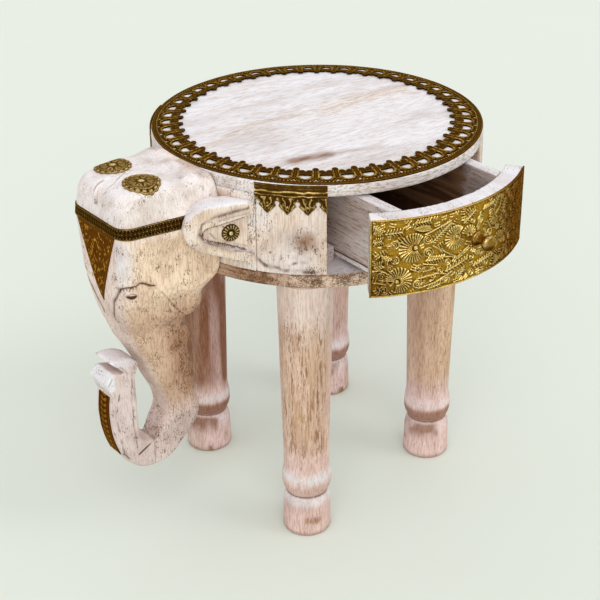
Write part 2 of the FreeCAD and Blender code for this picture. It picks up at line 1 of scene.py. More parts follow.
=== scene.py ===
import functools
import itertools
import math

import bpy
import numpy as np
from mathutils import Matrix, Vector
from mathutils.bvhtree import BVHTree


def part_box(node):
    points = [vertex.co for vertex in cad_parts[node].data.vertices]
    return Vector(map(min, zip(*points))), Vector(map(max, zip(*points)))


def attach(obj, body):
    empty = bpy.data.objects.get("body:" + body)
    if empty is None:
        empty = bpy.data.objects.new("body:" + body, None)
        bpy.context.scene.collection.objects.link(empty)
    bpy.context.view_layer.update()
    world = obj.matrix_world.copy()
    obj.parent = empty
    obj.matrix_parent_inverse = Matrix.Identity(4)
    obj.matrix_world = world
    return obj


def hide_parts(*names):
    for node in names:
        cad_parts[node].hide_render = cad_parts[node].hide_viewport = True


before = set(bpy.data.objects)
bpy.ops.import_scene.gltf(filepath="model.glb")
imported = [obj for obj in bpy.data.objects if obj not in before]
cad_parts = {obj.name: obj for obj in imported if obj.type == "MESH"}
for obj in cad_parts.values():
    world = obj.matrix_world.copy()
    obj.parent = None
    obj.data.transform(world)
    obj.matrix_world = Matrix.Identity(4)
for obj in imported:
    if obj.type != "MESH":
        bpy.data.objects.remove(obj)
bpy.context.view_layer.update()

# Sizes and places are millimetres from the drum's axis at the floor: +X to the head, +Y to the drawer, +Z up.
MM = 0.001
top_low, top_high = (np.array(corner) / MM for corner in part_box("table_top"))
AXIS = np.append((top_low[:2] + top_high[:2]) / 2, 0)
RADIUS = (top_high[0] - top_low[0]) / 2
TABLE_HEIGHT = top_high[2]

TABLE = "table"
DRAWER = "drawer"
SIDES = ("left", "right")
LATTICE_SIZE = 32
LATTICE = np.random.default_rng(11).uniform(-1, 1, (LATTICE_SIZE,) * 3)


def node_box(name):
    low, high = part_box(name)
    return np.array(low) / MM - AXIS, np.array(high) / MM - AXIS


def node_middle(name):
    low, high = node_box(name)
    return (low + high) / 2


def polar(radius, angle, z=0):
    turn = math.radians(angle)
    return np.array([radius * math.cos(turn), radius * math.sin(turn), z])


def rounded(radius, turn, z):
    """A list of points at some radius and turn about the axis."""
    parts = np.broadcast_arrays(radius * np.cos(turn), radius * np.sin(turn), z)
    return np.stack(parts, axis=-1).reshape(-1, 3)


def off_axis(points):
    return np.hypot(points[:, 0], points[:, 1])


def turn_of(points):
    return np.arctan2(points[:, 1], points[:, 0])


def folded(points):
    """Points with the elephant's right side laid over its left."""
    return np.where([False, True, False], np.abs(points), points)


def unit(way):
    return way / np.linalg.norm(way)


def most(*values):
    return functools.reduce(np.maximum, values)


def smooth(low, high, value):
    """0 below low, 1 above high, and a soft rise between."""
    t = np.clip((value - low) / (high - low), 0, 1)
    return t * t * (3 - 2 * t)


def bell(distance, width):
    return np.exp(-(distance / width) ** 2)


def noise(points, size):
    """Soft seeded noise from -1 to 1 with lumps of about that size."""
    scaled = np.asarray(points, float) / size
    cell = np.floor(scaled).astype(int)
    part = scaled - cell
    part = part * part * (3 - 2 * part)
    total = np.zeros(len(scaled))
    for corner in itertools.product((0, 1), repeat=3):
        share = np.prod(np.where(corner, part, 1 - part), axis=1)
        total += share * LATTICE[tuple(((cell + corner) % LATTICE_SIZE).T)]
    return total


def half_ball(*offsets):
    """Height of half a ball of radius 1 over its plane, at offsets from its middle."""
    return np.sqrt(np.clip(1 - sum(offset ** 2 for offset in offsets), 0, 1))


def path_distance(points, places):
    """Distance from points, in a plane or in space, to a run of straight lines."""
    nearest = np.inf
    for start, end in zip(places, places[1:]):
        start, way = np.array(start), np.array(end) - np.array(start)
        along = np.clip((points - start) @ way / way.dot(way), 0, 1)
        nearest = np.minimum(nearest, np.linalg.norm(points - start - along[..., None] * way, axis=-1))
    return nearest


def near(points, places, width):
    return bell(path_distance(points, places), width)


def divided(places, step):
    """The same run of lines with points at most a step apart."""
    run = [np.array(places[0], float)]
    for a, b in zip(places, places[1:]):
        a, b = np.array(a, float), np.array(b, float)
        count = max(1, math.ceil(np.linalg.norm(b - a) / step))
        run += [a + (b - a) * k / count for k in range(1, count + 1)]
    return np.array(run)


def grid_quads(rows, columns, closed=False):
    index = np.arange(rows * columns).reshape(rows, columns)
    if closed:
        index = np.hstack([index, index[:, :1]])
    corners = [index[:-1, :-1], index[:-1, 1:], index[1:, 1:], index[1:, :-1]]
    return np.stack(corners, axis=-1).reshape(-1, 4)


def new_object(name, data):
    made = bpy.data.objects.new(name, data)
    bpy.context.collection.objects.link(made)
    return made


def add_piece(name, points, faces, body, slot, material, replaced, sharp=40, **fields):
    """Makes one mesh piece that rides on a body and stands for CAD nodes. Fields are painted on its points."""
    mesh = bpy.data.meshes.new(name)
    mesh.from_pydata(((points + AXIS) * MM).tolist(), [], [face for block in faces for face in block.tolist()])
    for field, values in fields.items():
        layer = mesh.attributes.new(field, "FLOAT", "POINT")
        layer.data.foreach_set("value", np.clip(values, 0, 1).astype(np.float32))
    mesh.shade_smooth()
    mesh.set_sharp_from_angle(angle=math.radians(sharp))
    mesh.materials.append(material)
    piece = new_object(name, mesh)
    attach(piece, body)
    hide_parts(*replaced)


def lathe(outline, segments, step):
    """A turned form about Z: outline runs (radius, height) from the axis at the foot to the axis at the top."""
    run = divided(outline, step)
    turn = np.linspace(0, 2 * math.pi, segments, endpoint=False)
    radius, height = run[1:-1, 0:1], run[1:-1, 1:2]
    points = np.vstack([[[0, 0, run[0][1]]], rounded(radius, turn, height), [[0, 0, run[-1][1]]]])
    around = np.arange(segments)
    following = (around + 1) % segments
    last = len(points) - 1
    foot = np.stack([np.zeros(segments, int), following + 1, around + 1], axis=1)
    crown = np.stack([np.full(segments, last), last - segments + around, last - segments + following], axis=1)
    return points, [foot, grid_quads(len(radius), segments, closed=True) + 1, crown]


def add_sheet(name, upper, lower, quads, body, slot, material, replaced, **fields):
    """Makes a piece of a closed sheet between two layers of points, without the quads that have a corner missing."""
    quads = quads[~np.isnan(upper[:, 0])[quads].any(axis=1)]
    used = np.unique(quads)
    count = len(used)
    number = np.full(len(upper), -1)
    number[used] = np.arange(count)
    quads = number[quads]
    upper, lower = upper[used], lower[used]
    first, second, last = upper[quads[:, 0]], upper[quads[:, 1]], upper[quads[:, 3]]
    facing = np.cross(second - first, last - first) * (upper - lower)[quads[:, 0]]
    if facing.sum() < 0:
        quads = quads[:, ::-1]
    starts, ends = quads.ravel(), np.roll(quads, -1, axis=1).ravel()
    rim = ~np.isin(starts * count + ends, ends * count + starts)
    walls = np.stack([ends[rim], starts[rim], starts[rim] + count, ends[rim] + count], axis=1)
    painted = {field: np.tile(values[used], 2) for field, values in fields.items()}
    add_piece(name, np.vstack([upper, lower]), [quads, quads[:, ::-1] + count, walls], body, slot, material, replaced,
              sharp=50, **painted)


def trim_to(a, b, shape):
    """Grid rows of (a, b) moved so that the zero line of shape runs through points, and which quads stay inside.
    shape gives a distance, below zero inside."""
    reach = 0.02
    snap = 0.55 * max(abs(a[0, 1] - a[0, 0]), abs(b[1, 0] - b[0, 0]))
    distance = shape(a, b)
    slope_a = (shape(a + reach, b) - shape(a - reach, b)) / (2 * reach)
    slope_b = (shape(a, b + reach) - shape(a, b - reach)) / (2 * reach)
    steep = most(slope_a ** 2 + slope_b ** 2, 0.2)
    close = np.abs(distance) < snap
    a = a - np.where(close, distance * slope_a / steep, 0)
    b = b - np.where(close, distance * slope_b / steep, 0)
    quads = grid_quads(*a.shape)
    inside = (distance < snap).ravel()
    return a, b, quads[inside[quads].all(axis=1)]


def spread(values, quads, rounds):
    """Values on points, averaged with their neighbours some times over."""
    starts, ends = quads.ravel(), np.roll(quads, -1, axis=1).ravel()
    share = np.bincount(starts, minlength=len(values))[:, None]
    values = values.reshape(len(values), -1)
    for _ in range(rounds):
        total = np.stack([np.bincount(starts, column[ends], len(values)) for column in values.T], axis=1)
        values = total / share
    return values


def skin_of(node, voxel, passes, keen=1):
    """A fine even skin over a node's solid, with softened edges: its points, quads and normals, and from 0 to 1 how
    far each point stands out from its surroundings (worn edges) or lies in them (creases)."""
    work = new_object(node + "_skin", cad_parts[node].data.copy())
    even = work.modifiers.new("even", "REMESH")
    even.mode = "VOXEL"
    even.voxel_size = voxel * MM
    soften = work.modifiers.new("soften", "SMOOTH")
    soften.factor = 0.5
    soften.iterations = passes
    bpy.context.view_layer.update()
    mesh = bpy.data.meshes.new_from_object(work.evaluated_get(bpy.context.evaluated_depsgraph_get()))
    points = np.empty(3 * len(mesh.vertices))
    normals = np.empty(3 * len(mesh.vertices))
    mesh.vertices.foreach_get("co", points)
    mesh.vertices.foreach_get("normal", normals)
    quads = np.array([list(face.vertices) for face in mesh.polygons])
    bpy.data.objects.remove(work)
    bpy.data.meshes.remove(mesh)
    points, normals = points.reshape(-1, 3) / MM - AXIS, normals.reshape(-1, 3)
    stands = np.sum((points - spread(points, quads, rounds=6)) * normals, axis=1) / voxel
    stands = keen * spread(stands, quads, rounds=2)[:, 0]
    return points, quads, normals, smooth(0.15, 0.7, stands), smooth(0.12, 0.6, -stands)


def tree_of(points, quads):
    return BVHTree.FromPolygons(points.tolist(), quads.tolist())


def cast(tree, starts, direction):
    """Where rays in one direction first meet a skin, with nan where they miss it."""
    way = Vector(direction)
    hits = [tree.ray_cast(Vector(start), way)[0] for start in starts]
    return np.array([tuple(hit) if hit else (math.nan,) * 3 for hit in hits])


def tone(red, green, blue):
    """A colour given as 0 to 255 on a screen, as light."""
    parts = [part / 255 for part in (red, green, blue)]
    return tuple(((part + 0.055) / 1.055) ** 2.4 for part in parts) + (1,)


class Shade:
    """A material's node tree, with short calls that add to it."""

    def __init__(self, name):
        self.material = bpy.data.materials.new(name)
        self.material.use_nodes = True
        self.tree = self.material.node_tree
        self.surface = self.tree.nodes["Principled BSDF"]
        self.place = self.add("ShaderNodeTexCoord").outputs["Object"]

    def add(self, kind, inputs=None, **settings):
        node = self.tree.nodes.new(kind)
        for key, value in settings.items():
            setattr(node, key, value)
        for key, value in (inputs or {}).items():
            self.put(node.inputs[key], value)
        return node

    def put(self, socket, value):
        if isinstance(value, bpy.types.NodeSocket):
            self.tree.links.new(value, socket)
        else:
            socket.default_value = value

    def set(self, **values):
        for key, value in values.items():
            self.put(self.surface.inputs[key.replace("_", " ")], value)

    def stretched(self, scale, turn=(0, 0, 0)):
        angles = tuple(math.radians(angle) for angle in turn)
        turned = self.add("ShaderNodeMapping", {"Vector": self.place, "Rotation": angles}).outputs[0]
        return self.add("ShaderNodeMapping", {"Vector": turned, "Scale": scale}).outputs[0]

    def noise(self, vector, size, detail=4, rough=0.55, warp=0):
        return self.add("ShaderNodeTexNoise", {
            "Vector": vector, "Scale": 1 / (size * MM), "Detail": detail, "Roughness": rough, "Distortion": warp,
        }).outputs[0]

    def step(self, value, low, high):
        ranged = {"Value": value, "From Min": low, "From Max": high}
        return self.add("ShaderNodeMapRange", ranged, interpolation_type="SMOOTHSTEP").outputs["Result"]

    def calc(self, operation, a, b):
        return self.add("ShaderNodeMath", {0: a, 1: b}, operation=operation).outputs[0]

    def times(self, a, b):
        return self.calc("MULTIPLY", a, b)

    def plus(self, a, b):
        return self.calc("ADD", a, b)

    def mix(self, share, a, b, blend="MIX"):
        return self.add("ShaderNodeMix", {0: share, 6: a, 7: b}, data_type="RGBA", blend_type=blend).outputs[2]

    def field(self, name):
        return self.add("ShaderNodeAttribute", attribute_name=name).outputs["Fac"]

    def bump(self, height, depth, strength=1):
        raised = {"Height": height, "Distance": depth * MM, "Strength": strength}
        self.put(self.surface.inputs["Normal"], self.add("ShaderNodeBump", raised).outputs[0])


BARE_DARK = tone(106, 70, 46)
BARE_LIGHT = tone(174, 130, 94)
LEG_DARK = tone(146, 106, 76)
LEG_LIGHT = tone(194, 154, 118)
CLOUD = tone(234, 229, 225)
STAIN_AND_SHADE = tone(162, 123, 95)
FIBRE = tone(198, 172, 150)
FLECK = tone(92, 62, 36)
CREASE_AND_SHADE = tone(78, 44, 20)
TINTS = (("ochre", tone(224, 184, 126)), ("pink", tone(238, 206, 203)), ("pale", tone(240, 238, 243)))
BRASS_GRAIN = tone(196, 176, 132)
TARNISH_AND_SHADE = tone(138, 104, 62)
BRASS_GLINT = tone(240, 208, 150)
X_GRAIN = (0.09, 1, 1)
Y_GRAIN = (1, 0.09, 1)
Z_GRAIN = (1, 1, 0.09)
TOP_BOARD_GRAIN = (0.12, 1, 1)
LEAST_STRETCH = 0.35
WOOD_ROUGHNESS = 0.62


def washed_wood(name, grain, coat, fibre, speckle, turn=(0, 0, 0), patchy=(1, 1, 1), scratch=0.5,
                patch_size=12, fine_size=1.6, bare_tones=(BARE_DARK, BARE_LIGHT)):
    """Whitewash rubbed over brown wood, with the strength of its fibres, dark flecks and scratches. Painted fields
    say where it is ochre, pink, pale, stained brown, worn to the bare wood, flecked more, or dark in creases. In the
    drawer, on the base, the head and the ears, painted shade is laid in as brown, bare wood and dark creases."""
    shade = Shade(name)
    along = shade.stretched(grain, turn)
    fine = shade.noise(along, fine_size, 2.5, 0.6)
    broad = shade.noise(along, 9, 3, 0.55, 0.3)
    blotchy = shade.stretched(patchy, turn)
    cloud = shade.noise(blotchy, 36, 4, 0.6)
    patch = shade.noise(blotchy, patch_size, 4, 0.65)
    drawn = shade.stretched(tuple(max(part, LEAST_STRETCH) for part in grain), turn)
    dots = shade.noise(drawn, 1.25, 2, 0.6, 0.6)
    lines = shade.noise(drawn, 8, 2, 0.5, 1.6)
    colour = coat
    for field, tint in TINTS:
        colour = shade.mix(shade.field(field), colour, tint)
    colour = shade.mix(shade.step(cloud, 0.40, 0.66), colour, CLOUD, "MULTIPLY")
    colour = shade.mix(shade.field("stain"), colour, STAIN_AND_SHADE, "MULTIPLY")
    thinned = shade.calc("SUBTRACT", fibre, shade.times(shade.field("pale"), 0.7 * fibre))
    colour = shade.mix(shade.times(shade.step(fine, 0.53, 0.40), thinned), colour, FIBRE, "MULTIPLY")
    uneven = shade.plus(shade.times(fine, 0.9), shade.times(patch, 0.6))
    worn = shade.step(shade.plus(uneven, shade.field("wear")), 1.15, 1.27)
    colour = shade.mix(worn, colour, shade.mix(shade.step(broad, 0.36, 0.64), *bare_tones))
    dusty = shade.plus(shade.times(dots, 0.7), shade.times(patch, 0.45))
    dusty = shade.plus(dusty, shade.times(shade.field("speck"), 0.2))
    sparse = 0.78 - 0.1 * speckle
    colour = shade.mix(shade.times(shade.step(dusty, sparse, sparse + 0.04), 0.8), colour, FLECK)
    offset = shade.calc("ABSOLUTE", shade.calc("SUBTRACT", lines, 0.5), 0)
    scored = shade.times(shade.step(offset, 0.013, 0.004), shade.step(patch, 0.47, 0.58))
    colour = shade.mix(shade.times(scored, scratch), colour, FLECK)
    depth = shade.field("crease")
    creased = shade.calc("MAXIMUM", shade.times(depth, shade.step(dots, 0.2, 0.5)), shade.step(depth, 0.6, 1))
    colour = shade.mix(creased, colour, CREASE_AND_SHADE)
    shade.set(Base_Color=colour, Roughness=WOOD_ROUGHNESS, Specular_IOR_Level=0.3)
    shade.bump(uneven, 0.3, 0.4)
    return shade.material


def embossed_brass(name, low, middle, high, rough, metal):
    """Aged brass: dark in the hollows, rubbed bright on what stands out, and browner where it is tarnished
    and where painted shade is laid in.
    """
    shade = Shade(name)
    grime = shade.noise(shade.place, 9, 5, 0.65)
    grain = shade.noise(shade.place, 1.1, 3, 0.6)
    level = shade.plus(shade.field("relief"), shade.times(shade.calc("SUBTRACT", grime, 0.5), 0.5))
    colour = shade.mix(shade.step(level, 0.05, 0.5), tone(*low), tone(*middle))
    colour = shade.mix(shade.step(level, 0.5, 1), colour, tone(*high))
    colour = shade.mix(shade.step(grain, 0.64, 0.40), colour, BRASS_GRAIN, "MULTIPLY")
    colour = shade.mix(shade.field("tarnish"), colour, TARNISH_AND_SHADE, "MULTIPLY")
    shade.set(Base_Color=colour, Metallic=metal, Specular_Tint=BRASS_GLINT)
    shade.set(Roughness=shade.plus(shade.times(grime, 0.3), rough))
    shade.bump(grain, 0.1, 0.4)
    return shade.material


def plain_steel(name):
    shade = Shade(name)
    turned = shade.noise(shade.stretched((1, 0.05, 1)), 0.8, 3)
    shade.set(Base_Color=shade.mix(turned, tone(120, 120, 122), tone(190, 190, 192)), Metallic=0.9, Roughness=0.4)
    return shade.material


TOP_TURN = (0, 0, 7)
top_wood = washed_wood("top_wood", TOP_BOARD_GRAIN, tone(238, 233, 232), 1, 0.3, TOP_TURN, patchy=(0.25, 1, 1),
                       scratch=0.3, fine_size=1.7)
base_wood = washed_wood("base_wood", X_GRAIN, tone(238, 212, 190), 0.5, 0.7, scratch=0.8)
block_wood = washed_wood("block_wood", Z_GRAIN, tone(242, 221, 206), 0.4, 0.35)
carved_wood = washed_wood("carved_wood", Z_GRAIN, tone(255, 228, 202), 0.5, 0.28, scratch=0.7)
leg_wood = washed_wood("leg_wood", Z_GRAIN, tone(236, 206, 182), 0.5, 0.3, patchy=(1, 1, 0.1), scratch=0.4,
                       patch_size=3.6, fine_size=1.3, bare_tones=(LEG_DARK, LEG_LIGHT))
drawer_wood = washed_wood("drawer_wood", Y_GRAIN, tone(228, 218, 217), 0.7, 0.2, patchy=(1, 0.2, 1))
bare_wood = washed_wood("bare_wood", Y_GRAIN, tone(190, 166, 142), 0.6, 0.4)
aged_brass = embossed_brass("aged_brass", (46, 29, 6), (98, 68, 22), (255, 226, 156), 0.28, 0.95)
plate_brass = embossed_brass("plate_brass", (84, 42, 8), (130, 80, 28), (232, 184, 96), 0.3, 0.95)
boss_brass = embossed_brass("boss_brass", (66, 48, 16), (152, 126, 74), (255, 244, 204), 0.3, 0.85)
drawer_brass = embossed_brass("drawer_brass", (74, 48, 4), (202, 160, 58), (255, 246, 186), 0.2, 0.92)
knob_brass = embossed_brass("knob_brass", (84, 58, 22), (168, 134, 68), (250, 228, 172), 0.14, 0.95)
steel = plain_steel("steel")


# Round boards

BOARD_SEGMENTS = 320
BOARD_STEP = 1.7
BOARD_EDGE = 2
TOP_GRAIN = [0.25, 1, 1]
OCHRE_GRAIN = [0.12, 1, 1]
WORN_PATCH = [(97, 79.5), (88, 81.5), (76, 85), (58, 89.5)]
WORN_TAIL = [(64, 87.5), (38, 96), (16, 103), (0, 109)]
OCHRE_PATCH = [(-30, -13), (-99, -21), (-138, -11)]
OCHRE_STREAK = [(156, -10), (70, -35), (0, -24)]
STREAK_SQUEEZE = 0.12
BASE_STAIN_AND_SHADE_ANGLE = 27
BASE_STAIN_AND_SHADE_SPREAD = 14


def rim_share(points, start=3, end=0.8):
    """How far out on the rim points lie: 0 at the start, 1 at the end, both measured in from the edge."""
    return smooth(RADIUS - start, RADIUS - end, off_axis(points))


def rim_streaks(points):
    """Noise drawn out round the rim."""
    return noise(rounded(RADIUS, turn_of(points), points[:, 2]) * [STREAK_SQUEEZE, STREAK_SQUEEZE, 1], 2.4)


def top_paint(points):
    """A brown smear with a fainter tail, ochre clouds, and a chipped rim."""
    plan = points[:, :2]
    rim, grain = rim_share(points), points * TOP_GRAIN
    patch, trail = path_distance(plan, WORN_PATCH), path_distance(plan, WORN_TAIL)
    uneven, cloudy = noise(grain, 6), 1 + 0.5 * noise(grain, 12)
    ragged, soft = 1 + 0.4 * uneven, 1 + 0.25 * uneven
    chips = rim * (0.14 * smooth(0, 0.7, rim_streaks(points)) + 0.1 * smooth(0.2, 0.8, noise(points, 15)))
    smear = most(1.1 * bell(patch, 9 * soft), 0.45 * bell(trail, 6 * soft))
    clouds = most(0.42 * near(plan, OCHRE_PATCH, 20 * cloudy), 0.4 * near(plan, OCHRE_STREAK, 6 * cloudy),
                  0.2 * smooth(0.3, 0.9, noise(points * OCHRE_GRAIN, 9)))
    ochre = most(clouds * (1 - rim), 0.2 * rim)
    return {
        "wear": most(0.38 * bell(patch, 8 * ragged), 0.3 * bell(trail, 6 * ragged), chips),
        "stain": smear * (0.8 + 0.25 * noise(grain, 3)), "ochre": ochre, "pale": (0.9 - 0.4 * rim) * (1 - ochre),
        "speck": 0.1 * rim,
    }


def base_paint(points):
    """Bare and specked all round the rim, with a brown smudge by the head that also holds a painted shadow of the
    head.
    """
    rim = rim_share(points, 6, 1)
    # Painted shadow of the head and a brown smudge darken the rim about this angle.
    mark = bell(np.degrees(turn_of(points)) - BASE_STAIN_AND_SHADE_ANGLE, BASE_STAIN_AND_SHADE_SPREAD)
    chips = 0.36 * smooth(-0.3, 0.5, rim_streaks(points)) + 0.2 * smooth(0, 0.7, noise(points, 18))
    return {
        "wear": rim * (chips + 0.3 * mark), "stain": rim * (0.15 + 0.6 * mark), "pale": 1 - rim,
        "speck": rim * (0.65 + 0.4 * noise(points, 20)),
    }


def round_board(name, node, material, paint):
    low, high = (corner[2] for corner in node_box(node))
    side, bend = RADIUS - BOARD_EDGE, 0.3 * BOARD_EDGE
    outline = [
        (0, low), (side, low), (RADIUS - bend, low + bend), (RADIUS, low + BOARD_EDGE),
        (RADIUS, high - BOARD_EDGE), (RADIUS - bend, high - bend), (side, high), (0, high),
    ]
    points, faces = lathe(outline, BOARD_SEGMENTS, BOARD_STEP)
    hollow = rim_share(points, 8, 0) * (0.25 + 0.25 * noise(points, 26))
    points[:, :2] *= (1 - hollow / RADIUS)[:, None]
    add_piece(name, points, faces, TABLE, "white_wood", material, [node], sharp=30, **paint(points))


round_board("whitewashed_top", "table_top", top_wood, top_paint)
round_board("round_base", "base_board", base_wood, base_paint)


# Fretwork border of the top

BORDER_MOTIFS = 48
BORDER_SHIFT = polar(4, 242)
BORDER_TIGHT = 22
BORDER_TUCK = 3.8
BORDER_LIFT = 1.9
BORDER_TIP = 152.6
BORDER_WIDTH = 36.2
BORDER_PHASE = 43.2
MOTIF_RADIUS = 168
MOTIF_HALF = math.pi * MOTIF_RADIUS / BORDER_MOTIFS
BEAD_PITCH = 2 * MOTIF_HALF / 6
BEAD_RADIUS = 1.15
BEAD_ROW = 30.4
BAND_START = 25.2
FINGER_TIP = 3.6
FINGER_ROOT = 22
LOBE = (MOTIF_HALF - 4.2, 9.4, 4.4, 4.4)
ARCH = (MOTIF_HALF, 18, 9, 9.4)
LENS = (MOTIF_HALF, 15.8, 6.5, 8.8)
LENS_FOOT = 15.2


def round_distance(x, v, centre_x, centre_v, half_x, half_v):
    return (np.hypot((x - centre_x) / half_x, (v - centre_v) / half_v) - 1) * min(half_x, half_v)


def motif_shape(x, v):
    """One unit of the fretwork about a finger: x round the top, v outward from the finger's tip."""
    x = np.abs(x)
    finger = path_distance(np.stack([x, v], axis=-1), [(0, FINGER_TIP), (0, FINGER_ROOT)])
    finger = finger - np.interp(v, [FINGER_TIP, 8], [3.8, 3.2])
    band = most(BAND_START - v, v - BORDER_WIDTH)
    solid = np.minimum.reduce([finger, round_distance(x, v, *LOBE), round_distance(x, v, *ARCH), band])
    lens = most(round_distance(x, v, *LENS), LENS_FOOT - v)
    peak = most(0.86 * x - 0.5 * (v - 23.6), v - 28.8)
    return most(solid, -lens, -peak)


def motif_relief(x, v):
    side = np.abs(x)
    bead = np.abs((x + MOTIF_HALF) % BEAD_PITCH - BEAD_PITCH / 2)
    beads = half_ball(bead / BEAD_RADIUS, (v - BEAD_ROW) / BEAD_RADIUS)
    arc = bell(round_distance(side, v, *LENS) - 1.4, 0.55) * (v > 15)
    rolls = most(bell(v - 32.9, 0.5), bell(v - 35.2, 0.7))
    rib = 0.6 * bell(side, 0.7) * smooth(5, 8, v) * smooth(22, 19, v)
    edge = 0.85 * bell(motif_shape(x, v) + 0.7, 0.5)
    return most(beads, 0.8 * arc, 0.7 * rolls, rib, edge)


def top_border():
    columns, rows = 37, 62
    x, v = np.meshgrid(np.linspace(-MOTIF_HALF, MOTIF_HALF, columns), np.linspace(-0.3, BORDER_WIDTH + 0.3, rows))
    x, v, quads = trim_to(x, v, motif_shape)
    relief = motif_relief(x, v)
    turn = np.radians(BORDER_PHASE) + x / MOTIF_RADIUS
    step = 2 * math.pi / BORDER_MOTIFS
    turns = np.concatenate([turn + k * step for k in range(BORDER_MOTIFS)], axis=1)
    outward = np.tile(v, BORDER_MOTIFS) / BORDER_WIDTH
    headward = bell((np.degrees(turns) - BORDER_TIGHT + 180) % 360 - 180, 28)
    radius = BORDER_TIP + (BORDER_WIDTH - BORDER_TUCK * headward) * outward
    relief = np.tile(relief, BORDER_MOTIFS).ravel()
    inward = np.clip(1 - outward.ravel(), 0, 1)
    upper = rounded(radius, turns, 0) + np.outer(inward, BORDER_SHIFT)
    bend = 0.12 * noise(upper, 24) + BORDER_LIFT * inward
    lower = upper + np.outer(TABLE_HEIGHT - 0.3 + 0.8 * BORDER_LIFT * inward, [0, 0, 1])
    upper[:, 2] = TABLE_HEIGHT + 0.75 + 0.55 * relief + bend
    width = columns * BORDER_MOTIFS
    row, column = np.divmod(quads, columns)
    all_quads = np.concatenate([row * width + column + k * columns for k in range(BORDER_MOTIFS)])
    seam = np.arange(rows)[:, None] * width
    for k in range(BORDER_MOTIFS):
        all_quads = np.where(np.isin(all_quads, seam + k * columns + columns - 1),
                             all_quads // width * width + (k + 1) * columns % width, all_quads)
    add_sheet("fretwork_border", upper, lower, all_quads, TABLE, "aged_brass", aged_brass, ["top_border"],
              relief=0.02 + 0.85 * relief)


top_border()


# Legs

LEG_END = node_box("base_board")[0][2]
LEG_ANKLE_RADIUS = 26.5
LEG_TOP_RADIUS = 31.5
GROOVE = 53
FOOT_EDGE = 46
COLLAR = 79
ANKLE = 92
LEG_OUTLINE = [
    (0, 0), (25.5, 0), (27.8, 1.2), (28.5, 4), (27.6, 40), (26.7, 45.5), (25.2, 49.8), (24.2, 52.8),
    (24.4, 53.6), (25.6, 56), (27.5, 60), (28.8, 65.5), (29, 70.5), (28.8, 76), (28, 82), (26.9, 87.5),
    (LEG_ANKLE_RADIUS, ANKLE), (26.7, 112), (LEG_TOP_RADIUS, LEG_END), (0, LEG_END),
]
LEG_SEGMENTS = 88
LEG_STEP = 3
SPILL_ANGLE = 25
# How strongly each leg shows the bare ring under its collar, bare grain on its shaft, brown staining with painted
# shadow, and a warm tan
LEG_LOOKS = {
    "leg_front_left": (0.25, 0.41, 0, 0.1), "leg_front_right": (1, 0.44, 1.25, 0),
    "leg_hind_left": (0.9, 0.38, 0.3, 0.6), "leg_hind_right": (0.9, 0.36, 0.3, 0.3),
}


def turned_leg(name, ring_share, grain_share, stain_and_shade_share, warm_share):
    centre = node_middle(name)
    points, faces = lathe(LEG_OUTLINE, LEG_SEGMENTS, LEG_STEP)
    points[:, :2] += centre[:2]
    z = points[:, 2]
    out = (points - centre) * [1, 1, 0]
    reach = most(off_axis(out), 1e-6)
    outward = out[:, :2] @ centre[:2] / np.hypot(*centre[:2]) / reach
    hollow = 0.2 + 0.25 * noise(points * [1, 1, 0.25], 17)
    points -= out / reach[:, None] * (hollow * smooth(1, 20, reach))[:, None]
    patches = smooth(-0.3, 0.6, noise(points, 17))
    streaks = noise(points * [1, 1, 0.1], 9)
    ring = ring_share * smooth(GROOVE, 55.5, z) * smooth(75, 68, z + 4 * patches)
    towards = out @ polar(1, SPILL_ANGLE) / reach
    spill = ring_share * smooth(52, 48, z) * smooth(22, 42, z)
    spill = spill * smooth(0.45, 0.9, towards + 0.35 * noise(points, 9))
    foot = 0.7 * smooth(44, 12, z) * smooth(0.1, 0.8, noise(points * [1, 1, 0.5], 13))
    shaft = smooth(ANKLE, 120, z) * smooth(LEG_END + 20, LEG_END - 70, z)
    shaft = shaft * (grain_share + 0.04 * streaks + 0.12 * (outward - 0.7))
    collar = most(bell(z - COLLAR, 7), 0.9 * bell(z - FOOT_EDGE, 6)) * (1 - 0.4 * patches)
    collar = collar * (1 - warm_share) * (1 - 0.4 * stain_and_shade_share)
    upper = smooth(85, 130, z)
    pink = most(smooth(190, 90, z), 0.9 - 0.65 * outward) * (0.8 + 0.2 * noise(points, 30))
    bright = 0.34 * smooth(LEG_END - 95, LEG_END - 30, z) * (1 - 0.8 * stain_and_shade_share) * (1 - warm_share)
    shadow = stain_and_shade_share * smooth(80, 110, z) * (0.7 + 0.8 * streaks)
    add_piece("turned_" + name, points, faces, TABLE, "leg_wood", leg_wood, [name], sharp=50,
              wear=most(0.28 * ring, 0.3 * spill, foot, shaft), pale=most(collar * (1 - ring), bright),
              pink=pink * (1 - warm_share * upper), ochre=warm_share * upper * (0.8 + 0.3 * streaks),
              stain=most(0.9 * ring, 0.9 * spill, shadow, 0.45 * smooth(9, 1, z), 0.6 * foot),
              crease=0.9 * bell(z - GROOVE, 1.3), speck=0.25 * patches)


for leg_name, leg_looks in LEG_LOOKS.items():
    turned_leg(leg_name, *leg_looks)


# Boards of the drum and the drawer

